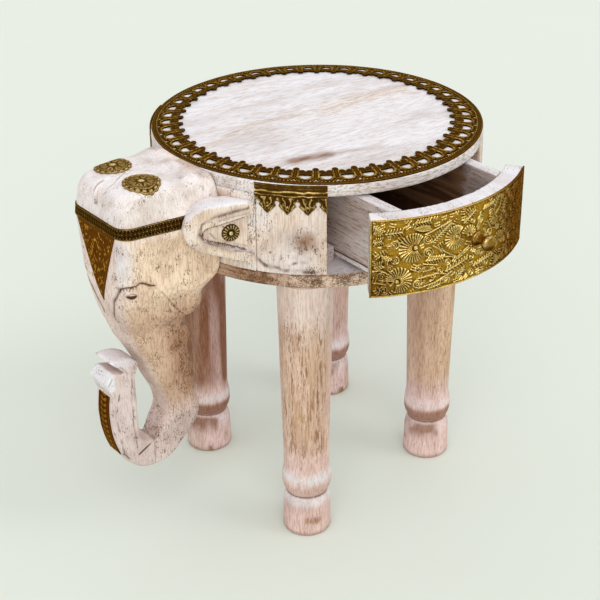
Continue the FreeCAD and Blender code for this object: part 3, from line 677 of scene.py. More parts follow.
def rubbed_board(node, body, slot, material, voxel=2, paint=None, stain_and_shade_share=0):
    """A node's solid as a hand-finished board: soft edges, worn along them, and bare, brown or dark where its paint
    says so, which inside the drawer is bare wood and painted shade.
    """
    points, quads, normals, wear, crease = skin_of(node, voxel, passes=2)
    wear = 0.5 * wear * smooth(-0.2, 0.6, noise(points, 12))
    pale = most(smooth(0.5, 0.9, normals[:, 2]), 0.4 * smooth(-0.3, 0.5, noise(points, 32)))
    stain = stain_and_shade_share * (1 - pale)
    speck = 0.35 + 0.35 * noise(points, 24)
    crease = 0.6 * crease
    if paint:
        # Inside the drawer these shares are painted shade as well as bare wood.
        bare, brown, dark = paint(points, normals)
        wear, stain, crease = most(wear, bare), most(stain, brown), most(crease, dark)
    points -= normals * (0.12 + 0.12 * noise(points, 22))[:, None]
    add_piece("rubbed_" + node, points, [quads], body, slot, material, [node], sharp=60,
              wear=wear, crease=crease, pale=pale, speck=speck, stain=stain)


def on_drum(points):
    """Places on the drum's wall: distance round its rim, and height."""
    return np.stack([turn_of(points) * RADIUS, points[:, 2]], axis=1)


def rim_place(angle, height):
    return math.radians(angle) * RADIUS, height


SHOULDER_SCUFF = [rim_place(*place) for place in ((31.5, 362), (34, 355), (42, 351), (50, 350))]
SHOULDER_CHIP = [rim_place(*place) for place in ((42, 358), (45.4, 362.5), (48.6, 366))]
SHOULDER_SMUDGE = rim_place(46.7, 386)


def shoulder_paint(points, normals):
    place = on_drum(points)
    ragged = 1 + 0.4 * noise(points, 6)
    outside = smooth(0.2, 0.6, off_axis(normals))
    smudge = bell(np.hypot(*((place - SHOULDER_SMUDGE) / [1, 1.3]).T), 11 * ragged) * outside
    foot = near(place, SHOULDER_SCUFF, 2.5 * ragged) * outside
    chip = near(place, SHOULDER_CHIP, 2.2 * ragged) * outside
    thin = most(0.85 * foot, 0.95 * chip) * smooth(-0.5, 0.4, noise(points, 5))
    return 0.54 * smudge, most(0.8 * smudge, 0.25 * foot), thin


DRAWER_RIM = node_box("drawer_side_head")[1][2]
DRAWER_BARE_AND_SHADE_END = 166


def drawer_paint(points, normals):
    """The inside is bare dark wood and painted shade, the shadow of the top, but for the upper edge and the part near
    the front.
    """
    x, y, z = points.T
    inward = smooth(0.3, 0.8, -np.sign(x) * normals[:, 0]) * smooth(30, 50, np.abs(x))
    ragged = y + 3 * noise(points * [1, 0.3, 1], 4)
    rear = smooth(DRAWER_BARE_AND_SHADE_END + 40, DRAWER_BARE_AND_SHADE_END - 20, ragged)
    back = smooth(0.3, 0.8, normals[:, 1]) * smooth(60, 40, y)
    # Bare wood with the painted shadow of the top.
    bare = 0.75 * most(inward * rear, back) * smooth(2, 7, DRAWER_RIM - z)
    return bare, bare, 0


def bottom_paint(points, normals):
    """Dark wood and painted shade on the upper face, which is the floor of the drawer."""
    inside = smooth(0.4, 0.8, normals[:, 2])
    return 0.6 * inside, inside, 0.8 * inside


rubbed_board("shoulder_block_left", TABLE, "white_wood", block_wood, voxel=1.4, paint=shoulder_paint)
for board in ("shoulder_block_right", "haunch_block_left", "haunch_block_right", "neck_block", "tail_panel",
              "flank_panel"):
    rubbed_board(board, TABLE, "white_wood", block_wood)
for board in ("drawer_front", "drawer_side_head", "drawer_side_tail", "drawer_back"):
    rubbed_board(board, DRAWER, "drawer_wood", drawer_wood, voxel=1.6, paint=drawer_paint, stain_and_shade_share=0.4)
rubbed_board("drawer_bottom", DRAWER, "drawer_wood", drawer_wood, paint=bottom_paint)
for board in ("drawer_guide_head", "drawer_guide_tail"):
    rubbed_board(board, TABLE, "bare_wood", drawer_wood, stain_and_shade_share=0.1)
for kept, material in (
    ("drawer_runner_head", drawer_wood), ("drawer_runner_tail", drawer_wood),
    ("drawer_stop", bare_wood), ("carcass_dowels", bare_wood), ("neck_dowels", bare_wood),
    ("trunk_dowel", bare_wood), ("knob_screw", steel),
):
    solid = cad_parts[kept]
    solid.data.materials.clear()
    solid.data.materials.append(material)


# Carved head

BROW = [
    (290.3, 11.1, 295.4), (291.5, 10.9, 300), (294.4, 17, 312.1), (296.7, 22.3, 323.9), (297.5, 30.3, 334),
    (296.1, 36.9, 344), (291.8, 42.3, 346), (287.3, 45, 346.1), (282, 46.4, 346.6), (276.6, 47.2, 349.1),
    (271.8, 47.6, 346.9), (266.1, 48, 342.9), (261.2, 48.4, 341.2),
]
LEDGE_X, _, LEDGE_Z = zip(*BROW[:4:-1])
JAW_X = (206, 214, 224, 233, 241, 250, 258)
JAW_Z = (288, 287, 293, 304.5, 317, 329, 338)
LEAF_LEFT = [(295.4, -3.8, 429), (291.9, -8.2, 442.4), (285.8, -8.7, 447.6), (279.5, -8, 449.5)]
LEAF_RIGHT = [
    (294.4, -3.7, 428.4), (292.5, 8, 440), (290, 11, 444.5), (280, 8.5, 449.5), (268, 2, 452),
    (254, -6.5, 452),
]
CROWN_RIDGE = [(235, 33, 452), (217, 41.5, 451), (196, 45.4, 447.5)]
NECK_SEAM = [(196, 47.2, 446.9), (198.3, 56.1, 434.6)]
NAPE = [(190.9, -17, 448), (189.8, 5, 448.5), (192.4, 33, 448)]
NAPE_LIFT = 6.5
SOCKET_X, SOCKET_Z = 288, 336
TEMPLE_X, TEMPLE_Z = 297, 372
CURL_RISE = (190, 150)
TRUNK_TOP = (332, 285)
TRUNK_FOOT = (150, 190)
CROWN_RISE = (392, 418)
OCHRE_PLACE = (251, 53.5, 427)
CURL_CRACKS = [(275, 17.5, 119.5), (262, 17.3, 126), (248, 14, 129.6)]


def carved_head():
    points, quads, normals, wear, crease = skin_of("head", voxel=1.1, passes=4)
    x, y, z = points.T
    half, mirrored = np.abs(y), folded(points)
    brow_distance = path_distance(mirrored, BROW)
    brow = smooth(0.15, 0.7, bell(brow_distance, 1.4))
    below = np.interp(x, LEDGE_X, LEDGE_Z) - z
    ledge = smooth(-0.6, 1.4, below) * smooth(40, 8, below) * smooth(254, 264, x) * smooth(299, 294, x)
    ledge = ledge * smooth(20, 30, half)
    side = smooth(0.2, 0.6, np.abs(normals[:, 1]))
    under = np.interp(x, JAW_X, JAW_Z) - z
    jaw = side * smooth(278, 256, x) * smooth(-1, 3, under) * np.exp(-most(under, 0) / 20)
    jaw_edge = side * smooth(262, 250, x) * bell(under - 1, 1.2) * smooth(-0.4, 0.4, noise(points, 9))
    socket = bell(np.hypot((x - SOCKET_X) / 1.5, z - SOCKET_Z), 9) * smooth(12, 24, half)
    ridge = near(points, CROWN_RIDGE, 0.9) * smooth(-0.3, 0.4, noise(points, 6))
    lines = most(near(points, LEAF_LEFT, 0.8), 0.8 * near(points, LEAF_RIGHT, 0.8), 0.5 * ridge,
                 0.8 * near(points, NECK_SEAM, 0.9), smooth(0.15, 0.7, near(mirrored, CURL_CRACKS, 1.3)))
    dent = 0.8 * brow + 1.3 * ledge + 1.6 * jaw + 0.6 * socket + 0.7 * lines + 0.25
    dent = dent + 0.3 * noise(points, 20) + 0.12 * noise(points, 7)
    points = points - normals * dent[:, None]
    points[:, 2] += NAPE_LIFT * smooth(226, 193, np.hypot(x, y)) * smooth(425, 442, z)
    blotch = noise(points, 28)
    upward, front = smooth(0.2, 0.8, normals[:, 2]), smooth(0.5, 0.9, normals[:, 0])
    crown = smooth(*CROWN_RISE, z + 6 * blotch - 0.35 * most(240 - x, 0))
    crown = 0.85 * most(upward, 0.75) * crown
    temple = 0.85 * bell(np.hypot(x - TEMPLE_X, (z - TEMPLE_Z) / 3.2), 12) * smooth(30, 38, half)
    nape = near(points, NAPE, 12)
    trunk = smooth(*TRUNK_TOP, z) * smooth(*TRUNK_FOOT, z)
    rearward = smooth(262, 236, x + 0.25 * (300 - z))
    rear = smooth(236, 206, x) * upward * smooth(-0.3, 0.5, noise(points, 13))
    # Painted shade laid in as brown down the trunk, more to its rear and less on front faces, and round the curl.
    shaded = trunk * (0.36 + 0.12 * smooth(280, 240, z) + 0.3 * rearward) * (1 - 0.6 * front)
    shaded = shaded + 0.25 * smooth(*CURL_RISE, z) + 0.1 * smooth(0, 0.6, blotch) * smooth(400, 380, z)
    cheek = bell(x - 268 + 0.24 * (343 - z), 11) * smooth(352, 340, z) * smooth(225, 260, z)
    speck = most(trunk * (0.3 + 0.5 * rearward), 0.45 * cheek, 0.8 * nape, 0.3 + 0.4 * noise(points, 15), 0.5 * brow,
                 0.6 * smooth(*CURL_RISE, z))
    broken = 0.5 + 0.5 * smooth(-0.6, 0.2, noise(points, 5))
    seam = bell(np.hypot(x, y) - RADIUS - 0.6, 1.2) * smooth(300, 340, z)
    # The brown along the brow and under its ledge is painted shade.
    fields = {
        "wear": wear * 0.25, "speck": speck * (1 - 0.6 * crown * (1 - nape)),
        "pale": most(crown, temple, 0.5 * smooth(185, 140, z), 0.3 * front) - 0.5 * nape,
        "ochre": 0.75 * bell(np.linalg.norm((points - OCHRE_PLACE) * [1, 1, 0.6], axis=1), 9),
        "pink": most(0.5 * front, 0.6 * smooth(200, 140, z)),
        "stain": most(shaded, 0.22 * ledge, 0.45 * rear, 0.45 * bell(brow_distance, 3.2)),
        "crease": most(crease * 0.6, 0.97 * brow * (0.5 + 0.5 * broken), 0.95 * lines * broken, 0.8 * jaw_edge,
                       0.8 * seam),
    }
    add_piece("carved_head", points, [quads], TABLE, "carved_wood", carved_wood, ["head"], sharp=70, **fields)
    return tree_of(points, quads), quads, fields


head_skin, head_quads, head_fields = carved_head()


OUTER_GROOVE = [(296, 205), (302, 181), (300, 154), (296, 125), (285, 108)]
INNER_GROOVE = [(279, 219), (280.4, 188), (281.5, 158), (278.5, 126.5)]
JOINT_CRACK = [(277, 117), (257, 127)]
LIP_BACK = [(300.5, 232.5), (311.5, 216)]
LIP_LINE = [(304.5, 239), (291, 237.5), (284, 227)]


def carved_trunk_end():
    points, quads, normals, wear, crease = skin_of("trunk_end", voxel=0.9, passes=1)
    profile = points[:, [0, 2]]
    x, z = profile.T
    grooves = most(near(profile, OUTER_GROOVE, 0.9), 0.8 * near(profile, INNER_GROOVE, 0.8),
                   0.7 * near(profile, LIP_BACK, 0.7), 0.6 * near(profile, LIP_LINE, 0.7),
                   smooth(0.15, 0.7, near(profile, JOINT_CRACK, 1.3)))
    grooves = grooves * smooth(0.3, 0.7, np.abs(normals[:, 1]))
    points = points - normals * (0.8 * grooves + 0.15 + 0.2 * noise(points, 12))[:, None]
    lip = smooth(298, 303, x) * smooth(208, 214, z)
    mouth = smooth(284, 290, x) * smooth(206, 214, z)
    broken = smooth(-0.5, 0.3, noise(points, 8))
    add_piece("carved_trunk_end", points, [quads], TABLE, "carved_wood", carved_wood, ["trunk_end"], sharp=60,
              wear=wear * 0.3, crease=most(crease * (0.6 + 0.4 * mouth), grooves * 0.95 * broken),
              pale=most(0.95 * most(lip, smooth(230, 238, z)), 0.5), pink=np.full(len(points), 0.6),
              stain=0.2 * (1 - lip), speck=0.35 + 0.45 * noise(points, 14))
    return tree_of(points, quads)


trunk_skin = carved_trunk_end()


EAR_RIM = [
    (171, 94.8, 421), (186.3, 89.2, 419.2), (206.6, 81.7, 415.4), (216.8, 77.9, 410), (219.8, 76.8, 399),
    (208.9, 78.4, 386.1), (187.7, 88.7, 376), (166, 94.5, 368.4),
]
EAR_FIELD = [
    (169.1, 95.5, 415.3), (187.5, 88.8, 413.7), (204, 82, 410.5), (210.3, 75, 400.1), (202.5, 77.8, 390.6),
    (184.5, 84.5, 381.7), (169.2, 90.2, 375.5),
]


def carved_ear(node):
    points, quads, normals, wear, crease = skin_of(node, voxel=1, passes=4, keen=2.2)
    mirrored = folded(points)
    rim, upward = path_distance(mirrored, EAR_RIM), normals[:, 2]
    lines = most(0.9 * bell(rim, 1.4), 0.5 * near(mirrored, EAR_FIELD, 1.2))
    lines = lines * smooth(-0.7, 0.1, noise(points, 7))
    points = points - normals * (0.1 + 0.2 * noise(points, 14) + 0.5 * lines)[:, None]
    # Painted shade: brown over the lower ear and inside the rim, and creases darker on walls facing down.
    low = 0.05 * smooth(420, 385, points[:, 2]) * smooth(-0.3, 0.5, noise(points, 18))
    broken = smooth(-0.7, 0.3, noise(points, 6)) * (1 - 0.6 * smooth(0.25, 0.7, upward))
    add_piece("carved_" + node, points, [quads], TABLE, "carved_wood", carved_wood, [node], sharp=60,
              wear=wear * 0.15, crease=most(0.9 * crease * broken, 0.85 * lines),
              pale=most(smooth(0.1, 0.7, upward), 0.35 + 0.2 * noise(points, 22)),
              stain=most(low, 0.6 * bell(rim, 4) * smooth(-0.6, 0.3, noise(points, 9))),
              ochre=0.48 * smooth(0.6, 0.1, upward), speck=0.3 + 0.4 * noise(points, 12) + 0.7 * crease)
    return tree_of(points, quads)


ear_skins = {side: carved_ear("ear_" + side) for side in SIDES}


EYE_HALF_WIDTH = 10
EYE_HALF_HEIGHT = 7.6
EYE_CELL = 0.4
LID_HALF_WIDTH = 6.2
UPPER_LID = 3.6
LOWER_LID = 3.2


def carved_eye(side):
    """Half-ball between carved lids, on a patch that sinks into the cheek all round."""
    centre = node_middle("eye_" + side)
    seat, normal, _, _ = head_skin.find_nearest(Vector(centre))
    out = unit(0.5 * np.array([0, math.copysign(1, centre[1]), 0]) + 0.5 * np.array(normal))
    ahead = np.array([1, 0, 0])
    ahead = unit(ahead - out * ahead.dot(out))
    up = np.array([0, 0, 1])
    up = unit(up - (out * up.dot(out) + ahead * up.dot(ahead)))
    a, b = np.meshgrid(np.arange(-EYE_HALF_WIDTH, EYE_HALF_WIDTH + 0.01, EYE_CELL),
                       np.arange(-EYE_HALF_HEIGHT, EYE_HALF_HEIGHT + 0.01, EYE_CELL))
    quads = grid_quads(*a.shape)
    a, b = a.ravel(), b.ravel()
    base = cast(head_skin, np.array(seat) + a[:, None] * ahead + b[:, None] * up + out * 15, -out)
    arch = np.clip(1 - (a / LID_HALF_WIDTH) ** 2, 0, 1)
    over, below = b - UPPER_LID * arch, b + LOWER_LID * arch
    ball = 2.4 * half_ball(a / 6.6, b / 4.8)
    opening = smooth(0, 0.5, np.minimum(-over, below))
    taper = smooth(8, 4.5, np.abs(a))
    ridge = most(bell(over - 1, 1), 0.9 * bell(below + 0.9, 0.9)) * taper
    rim = np.hypot(a / EYE_HALF_WIDTH, b / EYE_HALF_HEIGHT)
    lift = np.where(opening > 0.5, ball - 0.2, ridge) - 0.8 * smooth(0.72, 1, rim) + 0.25
    junction = bell(np.minimum(np.abs(over), np.abs(below)), 0.45) * taper
    # The lower part of the eyeball is painted dark.
    lower_ball_dark = opening * smooth(2.5, 1.8, b + 0.02 * a * a)
    corners = np.where(np.isnan(base[:, :1]), seat, base)
    around = head_quads[[head_skin.find_nearest(Vector(corner))[2] for corner in corners]]
    fields = {field: values[around].mean(axis=1) for field, values in head_fields.items()}
    fields["crease"] = most(fields["crease"] * (opening < 0.5), 0.5 * junction, lower_ball_dark)
    fields["pale"] = most(fields["pale"], ridge * 0.5, 0.3 * opening)
    for field in ("wear", "speck"):
        fields[field] = fields[field] * (1 - opening)
    add_sheet("lidded_eye_" + side, base + out * lift[:, None], base - out * 1.5, quads, TABLE, "eye_bead",
              carved_wood, ["eye_" + side], **fields)


for side_name in SIDES:
    carved_eye(side_name)


# Embossed brass

FAN_HOOK = 0.25
BARB_WIDTH = 0.66
BARB_LEAN = 48
STROKE_WIDTH = 0.75
STROKE_LEVEL = 0.9


def leaf(length, width):
    """A pointed leaf from the origin along the first direction, with a sunk midrib."""
    def form(x, y):
        half = width * np.sin(np.pi * np.clip(x / length, 0, 1)) ** 0.8
        return smooth(0, 0.35 * width, half - np.abs(y)) * (1 - 0.55 * bell(y, 0.2 * width))
    return form


def palmette(radius, spread_angle, ribs):
    """A fan of ribs about the first direction, longest in the middle, that bend outward at their tips."""
    half = math.radians(spread_angle) / 2

    def form(x, y):
        reach = np.hypot(x, y)
        turn = np.arctan2(y, x)
        turn = turn - FAN_HOOK * np.sin(turn) * (reach / radius) ** 2
        phase = (turn / half + 1) / 2 * (ribs - 1)
        nearest = np.clip(np.round(phase), 0, ribs - 1)
        across = np.abs(phase - nearest) * 2 * half / (ribs - 1) * reach
        end = radius * (0.86 + 0.14 * np.cos(nearest / (ribs - 1) * 2 * half - half))
        rib = bell(across, 0.5 + 0.5 * reach / radius) * smooth(0.16 * radius, 0.26 * radius, reach)
        rib = rib * smooth(end, end - 1.2, reach)
        return most(rib, 0.8 * smooth(0.16 * radius, 0.08 * radius, reach))
    return form


def spiral(radius, pitch, hand=1):
    def form(x, y):
        reach = np.hypot(x, y)
        phase = reach / pitch - hand * np.arctan2(y, x) / (2 * math.pi)
        across = np.abs(phase % 1 - 0.5) * pitch
        return bell(across, 0.6) * smooth(radius, radius - 0.8, reach)
    return form


def ringed_eye(length, height):
    """A drop with rings inside, drawn out to a tail behind."""
    def form(x, y):
        tail = np.where(x < 0, 1 + 0.9 * np.clip(-x / length, 0, 2), 1)
        level = np.hypot(x / (length * tail), y * tail / height)
        rings = most(bell((level - 1) * height, 0.65), 0.9 * bell((level - 0.5) * height, 0.6))
        return most(rings, smooth(0.3, 0.12, level))
    return form


def barb(length):
    """A slender hooked stroke along the first direction."""
    def form(x, y):
        bowed = y - 0.1 * x * x / length
        return bell(bowed, BARB_WIDTH) * smooth(-0.4, 0.5, x) * smooth(length, length - 1.6, x)
    return form


def spray(length, barbs, barb_length):
    """A stem with hooked barbs on both sides, like a feather."""
    c, s = math.cos(math.radians(BARB_LEAN)), math.sin(math.radians(BARB_LEAN))

    def form(x, y):
        level = bell(y, 0.6) * smooth(-0.5, 0.5, x) * smooth(length + 0.5, length - 0.5, x)
        for k in range(barbs):
            root = length * (k + 0.3) / barbs
            for side in (1, -1):
                dx, dy = x - root, y * side
                level = most(level, barb(barb_length)(dx * c + dy * s, dy * c - dx * s))
        return level
    return form


def comb(length, strokes):
    """Hooked strokes side by side."""
    def form(x, y):
        middle = (strokes - 1) / 2
        return np.maximum.reduce([
            barb(length * (1 - 0.14 * abs(k - middle)))(x - 0.7 * abs(k - middle), y - 2.8 * (k - middle))
            for k in range(strokes)])
    return form


class Emboss:
    """Hammered relief on a flat sheet, as heights from 0 to 1 on an even grid."""

    def __init__(self, width, height, cell):
        self.u = np.linspace(0, width, round(width / cell) + 1)
        self.v = np.linspace(0, height, round(height / cell) + 1)
        self.high = np.zeros((len(self.v), len(self.u)))

    def press(self, place, reach, form, turn=0):
        """Presses a form in about a place, turned by an angle. The higher of old and new stays."""
        columns = slice(*np.searchsorted(self.u, [place[0] - reach, place[0] + reach]))
        rows = slice(*np.searchsorted(self.v, [place[1] - reach, place[1] + reach]))
        du, dv = self.u[None, columns] - place[0], self.v[rows, None] - place[1]
        c, s = math.cos(math.radians(turn)), math.sin(math.radians(turn))
        window = self.high[rows, columns]
        np.maximum(window, form(du * c + dv * s, dv * c - du * s), out=window)

    def stroke(self, places):
        grid = np.stack(np.meshgrid(self.u, self.v), axis=-1)
        np.maximum(self.high, STROKE_LEVEL * near(grid, places, STROKE_WIDTH), out=self.high)


# Forms of the drawer front. Places run along it from the head end, and up from its foot.
# Fans: place, radius, direction, spread and ribs
DRAWER_FANS = (
    ((47.7, 52.7), 19, 180, 230, 21), ((28.7, 16.4), 17.5, 35, 255, 22),
    ((96.3, 55.3), 16, 190, 260, 22), ((111.5, 52.9), 12, 62, 160, 11),
    ((153, 63.1), 12, 215, 200, 13), ((207, 46), 16, 180, 230, 19),
    ((196, 14), 13, 60, 200, 15), ((217, 76), 12, 235, 190, 13),
    ((163, 30), 12, 120, 180, 13),
)
# Curls: place, radius and hand
DRAWER_CURLS = (
    ((61.1, 60.5), 6.2, 1), ((61.7, 45), 6.6, -1), ((12.7, 23.6), 6.5, -1), ((14.9, 8.1), 6, 1),
    ((96.3, 55.3), 5.5, 1), ((76.4, 20.8), 4.5, 1), ((85.1, 29.5), 4.5, -1), ((189.2, 69.7), 7, 1),
    ((184, 60), 5, -1), ((221, 60), 6, 1), ((221, 32), 6, -1), ((178, 14), 5, 1),
    ((136, 30), 4.5, -1), ((117, 8), 4.5, 1),
)
# Drops: place, size and direction
DRAWER_DROPS = (
    ((24.5, 58.5), 5.4, 5), ((25.2, 41.6), 5, -25), ((53.2, 28.5), 5.2, 175), ((52.1, 10.8), 5.6, 185),
    ((81.4, 9.5), 4.6, 200), ((172, 46), 5, 160), ((142, 46), 5, 20), ((226, 14), 5, 60),
    ((127.6, 66), 4.6, 75),
)
# Sprays: place, length, direction and pairs of leaves
DRAWER_SPRAYS = (
    ((15, 71.5), 19, 3, 5), ((2.7, 80.7), 12, -40, 4), ((3.5, 63), 9, 8, 3),
    ((3, 73), 8, 10, 3), ((46, 80.5), 18, 2, 5), ((59.2, 35.9), 21, -2, 6),
    ((83, 18.6), 30, 15, 7), ((64.8, 55.3), 29, 39, 8), ((104, 68), 20, 35, 5),
    ((120, 14), 26, 8, 6), ((153, 4), 22, 15, 5), ((150, 72), 16, 55, 4),
    ((166, 60), 16, 75, 4), ((177, 30), 17, 60, 4), ((200, 62), 16, 30, 4),
    ((4, 34), 9, 20, 3), ((12, 46), 9, -35, 3), ((96, 8), 14, 30, 4),
    ((131, 76), 18, 5, 5), ((62, 3), 16, 10, 4), ((188, 80), 16, -5, 4),
)
# Leaves from one root: length and direction
DRAWER_LEAVES = ((23, -8), (21, 0))
DRAWER_LEAF_ROOT = (44.4, 74.1)
DRAWER_LINES = (
    [(58, 66), (87.5, 75.5)], [(64.8, 55.3), (88.5, 73)],
    [(67.9, 51.1), (90.2, 36), (98.1, 32), (112.3, 40.3)], [(64, 40), (90, 34), (98.5, 29.5), (113.5, 38)],
    [(52, 17), (72, 19), (84, 15.5)], [(52, 5.5), (72, 9), (92, 17)],
    [(57, 32.5), (73, 28.5)], [(57, 24), (70, 25)],
    [(2, 30), (10, 31), (18, 27)], [(1, 17), (8, 16.5), (17, 14)],
    [(153, 64), (161, 70), (164, 82)], [(123, 58), (128, 74)], [(170, 8), (182, 20)],
    [(140, 60), (146, 50), (158, 46)], [(186, 30), (200, 30)],
    [(18, 20.5), (21.8, 24), (25.6, 17), (21.8, 12), (18, 16.8), (18, 20.5)],
)
# Places where the small filling is left out
DRAWER_BARE = ((28, 80), (33, 34), (66, 8), (122, 78))
CURL_PITCH = 2.3


def drawer_emboss(width, height, knob):
    work = Emboss(width, height, cell=0.5)
    for place, radius, turn, fan, ribs in DRAWER_FANS:
        work.press(place, radius + 2, palmette(radius, fan, ribs), turn)
    for place, radius, hand in DRAWER_CURLS:
        work.press(place, radius + 1, spiral(radius, CURL_PITCH, hand))
    for place, size, turn in DRAWER_DROPS:
        work.press(place, 3.2 * size, ringed_eye(size, 0.78 * size), turn)
    for place, length, turn, leaves in DRAWER_SPRAYS:
        work.press(place, length + 4, spray(length, round(1.2 * leaves), 6), turn)
    for length, turn in DRAWER_LEAVES:
        work.press(DRAWER_LEAF_ROOT, 26, leaf(length, 3.4), turn)
    for line in DRAWER_LINES:
        work.stroke(line)
    fill_gaps(work, DRAWER_BARE, seed=21)
    u, v = work.u[None, :], work.v[:, None]
    work.high *= smooth(8, 11, np.hypot(u - knob[0], v - knob[1]))
    margin = np.minimum.reduce(np.broadcast_arrays(u, width - u, v, height - v))
    work.high *= smooth(1.6, 3.2, margin)
    np.maximum(work.high, 0.75 * bell(margin - 0.7, 0.8), out=work.high)
    return work


def blurred(values, cells):
    """Values on a grid, smoothed over some cells in both directions."""
    reach = np.arange(-3 * cells, 3 * cells + 1)
    weight = np.exp(-0.5 * (reach / cells) ** 2)
    weight /= weight.sum()
    for axis in (0, 1):
        pad = [(0, 0), (0, 0)]
        pad[axis] = (3 * cells, 3 * cells)
        padded = np.pad(values, pad, mode="edge")
        values = np.apply_along_axis(np.convolve, axis, padded, weight, "valid")
    return values


FILL_START = 4
FILL_ALONG = 8
FILL_UP = 7


def fill_gaps(work, bare, seed):
    """Small leaves and curls in the places that the larger forms leave empty, but not in the bare ones."""
    draw = np.random.default_rng(seed)
    covered = blurred(work.high, cells=5)
    for u in np.arange(FILL_START, work.u[-1], FILL_ALONG):
        for v in np.arange(FILL_START, work.v[-1], FILL_UP):
            place = u + draw.uniform(-1.6, 1.6), v + draw.uniform(-1.6, 1.6)
            turn, size, kind = draw.uniform(-70, 70), draw.uniform(5.4, 8.4), draw.uniform()
            row = min(np.searchsorted(work.v, place[1]), len(work.v) - 1)
            column = min(np.searchsorted(work.u, place[0]), len(work.u) - 1)
            if covered[row, column] > 0.2 or min(math.dist(place, spot) for spot in bare) < 7:
                continue
            form = spiral(0.55 * size, 2.4) if kind < 0.2 else comb(size, 2 if kind < 0.6 else 3)
            work.press(place, size + 1.5, form, turn)
            covered = blurred(work.high, cells=5)


def drawer_tarnish(across, up):
    """Browner with painted shade towards the tail end, and tarnished in the lower corner at the head end. Both places
    run from 0 to 1.
    """
    # Painted shade towards the tail end.
    tail = smooth(0.48, 0.85, across)
    corner = smooth(0.7, 0, np.hypot(across / 0.3, up))
    return most(tail, 0.75 * corner).ravel()


def drawer_cladding():
    low, high = node_box("drawer_cladding")
    axis_y = high[1] - RADIUS
    half_turn = math.asin((high[0] - low[0]) / 2 / RADIUS)
    knob_x, _, knob_z = node_middle("drawer_knob")
    width, height = 2 * half_turn * RADIUS, high[2] - low[2]
    work = drawer_emboss(width, height, (width / 2 - knob_x, knob_z - low[2]))
    u, v = np.meshgrid(work.u, work.v)
    turn = math.pi / 2 - half_turn + u / RADIUS
    relief = work.high.ravel()
    # Painted highlight and painted shade: paler on the ridges and darker just beside them.
    highlight_and_shade = (work.high - blurred(work.high, cells=4)).ravel()
    tarnish = drawer_tarnish(u / width, v / height)

    def at(radius):
        return rounded(radius, turn, low[2] + v) + [0, axis_y, 0]

    flat = at(RADIUS)
    hammered = 0.18 * noise(flat, 9) + 0.35 * noise(flat, 30)
    raised = (0.2 + 1.5 * relief + hammered * (1 - 0.5 * relief)).reshape(u.shape)
    add_sheet("embossed_front", at(RADIUS + raised), at(RADIUS - 0.6), grid_quads(*u.shape), DRAWER, "drawer_brass",
              drawer_brass, ["drawer_cladding"], relief=0.53 + 1.12 * highlight_and_shade, tarnish=tarnish)


drawer_cladding()


KNOB_OUTLINE = [
    (0, -2), (8.2, -2), (8.2, 1.4), (7.6, 2.3), (6.2, 2.8), (5.4, 4), (4.9, 7), (4.9, 10), (5.6, 12),
    (7.4, 13.4), (8.6, 14.8), (8.9, 16.6), (8.6, 18.4), (7.5, 19.7), (5.6, 20.6), (2.8, 20.95), (0, 21),
]


def turned_knob():
    middle, front = node_middle("drawer_knob"), node_box("drawer_knob")[1][1]
    points, faces = lathe(KNOB_OUTLINE, segments=48, step=1.2)
    x, y, z = points.T
    # Painted highlight, on rubbed brass, along the cap's rim and the flange; painted shade on the underside.
    worn = 0.4 * bell(z - 18, 2.6) + 0.3 * smooth(4, 1, z)
    under = smooth(1, -5, -y)
    points = np.stack([x, z, -y], axis=1) + [middle[0], front - KNOB_OUTLINE[-1][1], middle[2]]
    add_piece("turned_knob", points, faces, DRAWER, "drawer_brass", knob_brass, ["drawer_knob"],
              relief=0.44 + worn - 0.4 * under, tarnish=0.8 * under)


turned_knob()


SHOULDER_ANGLE = 31
VALANCE_PITCH = 6.45
VALANCE_LEAD = 0.95
VALANCE_NOTCH = 11
VALANCE_SLOPE = 0.92
VALANCE_HOLE = 2.7
VALANCE_CELL = 0.45
MOULDING = 14.5


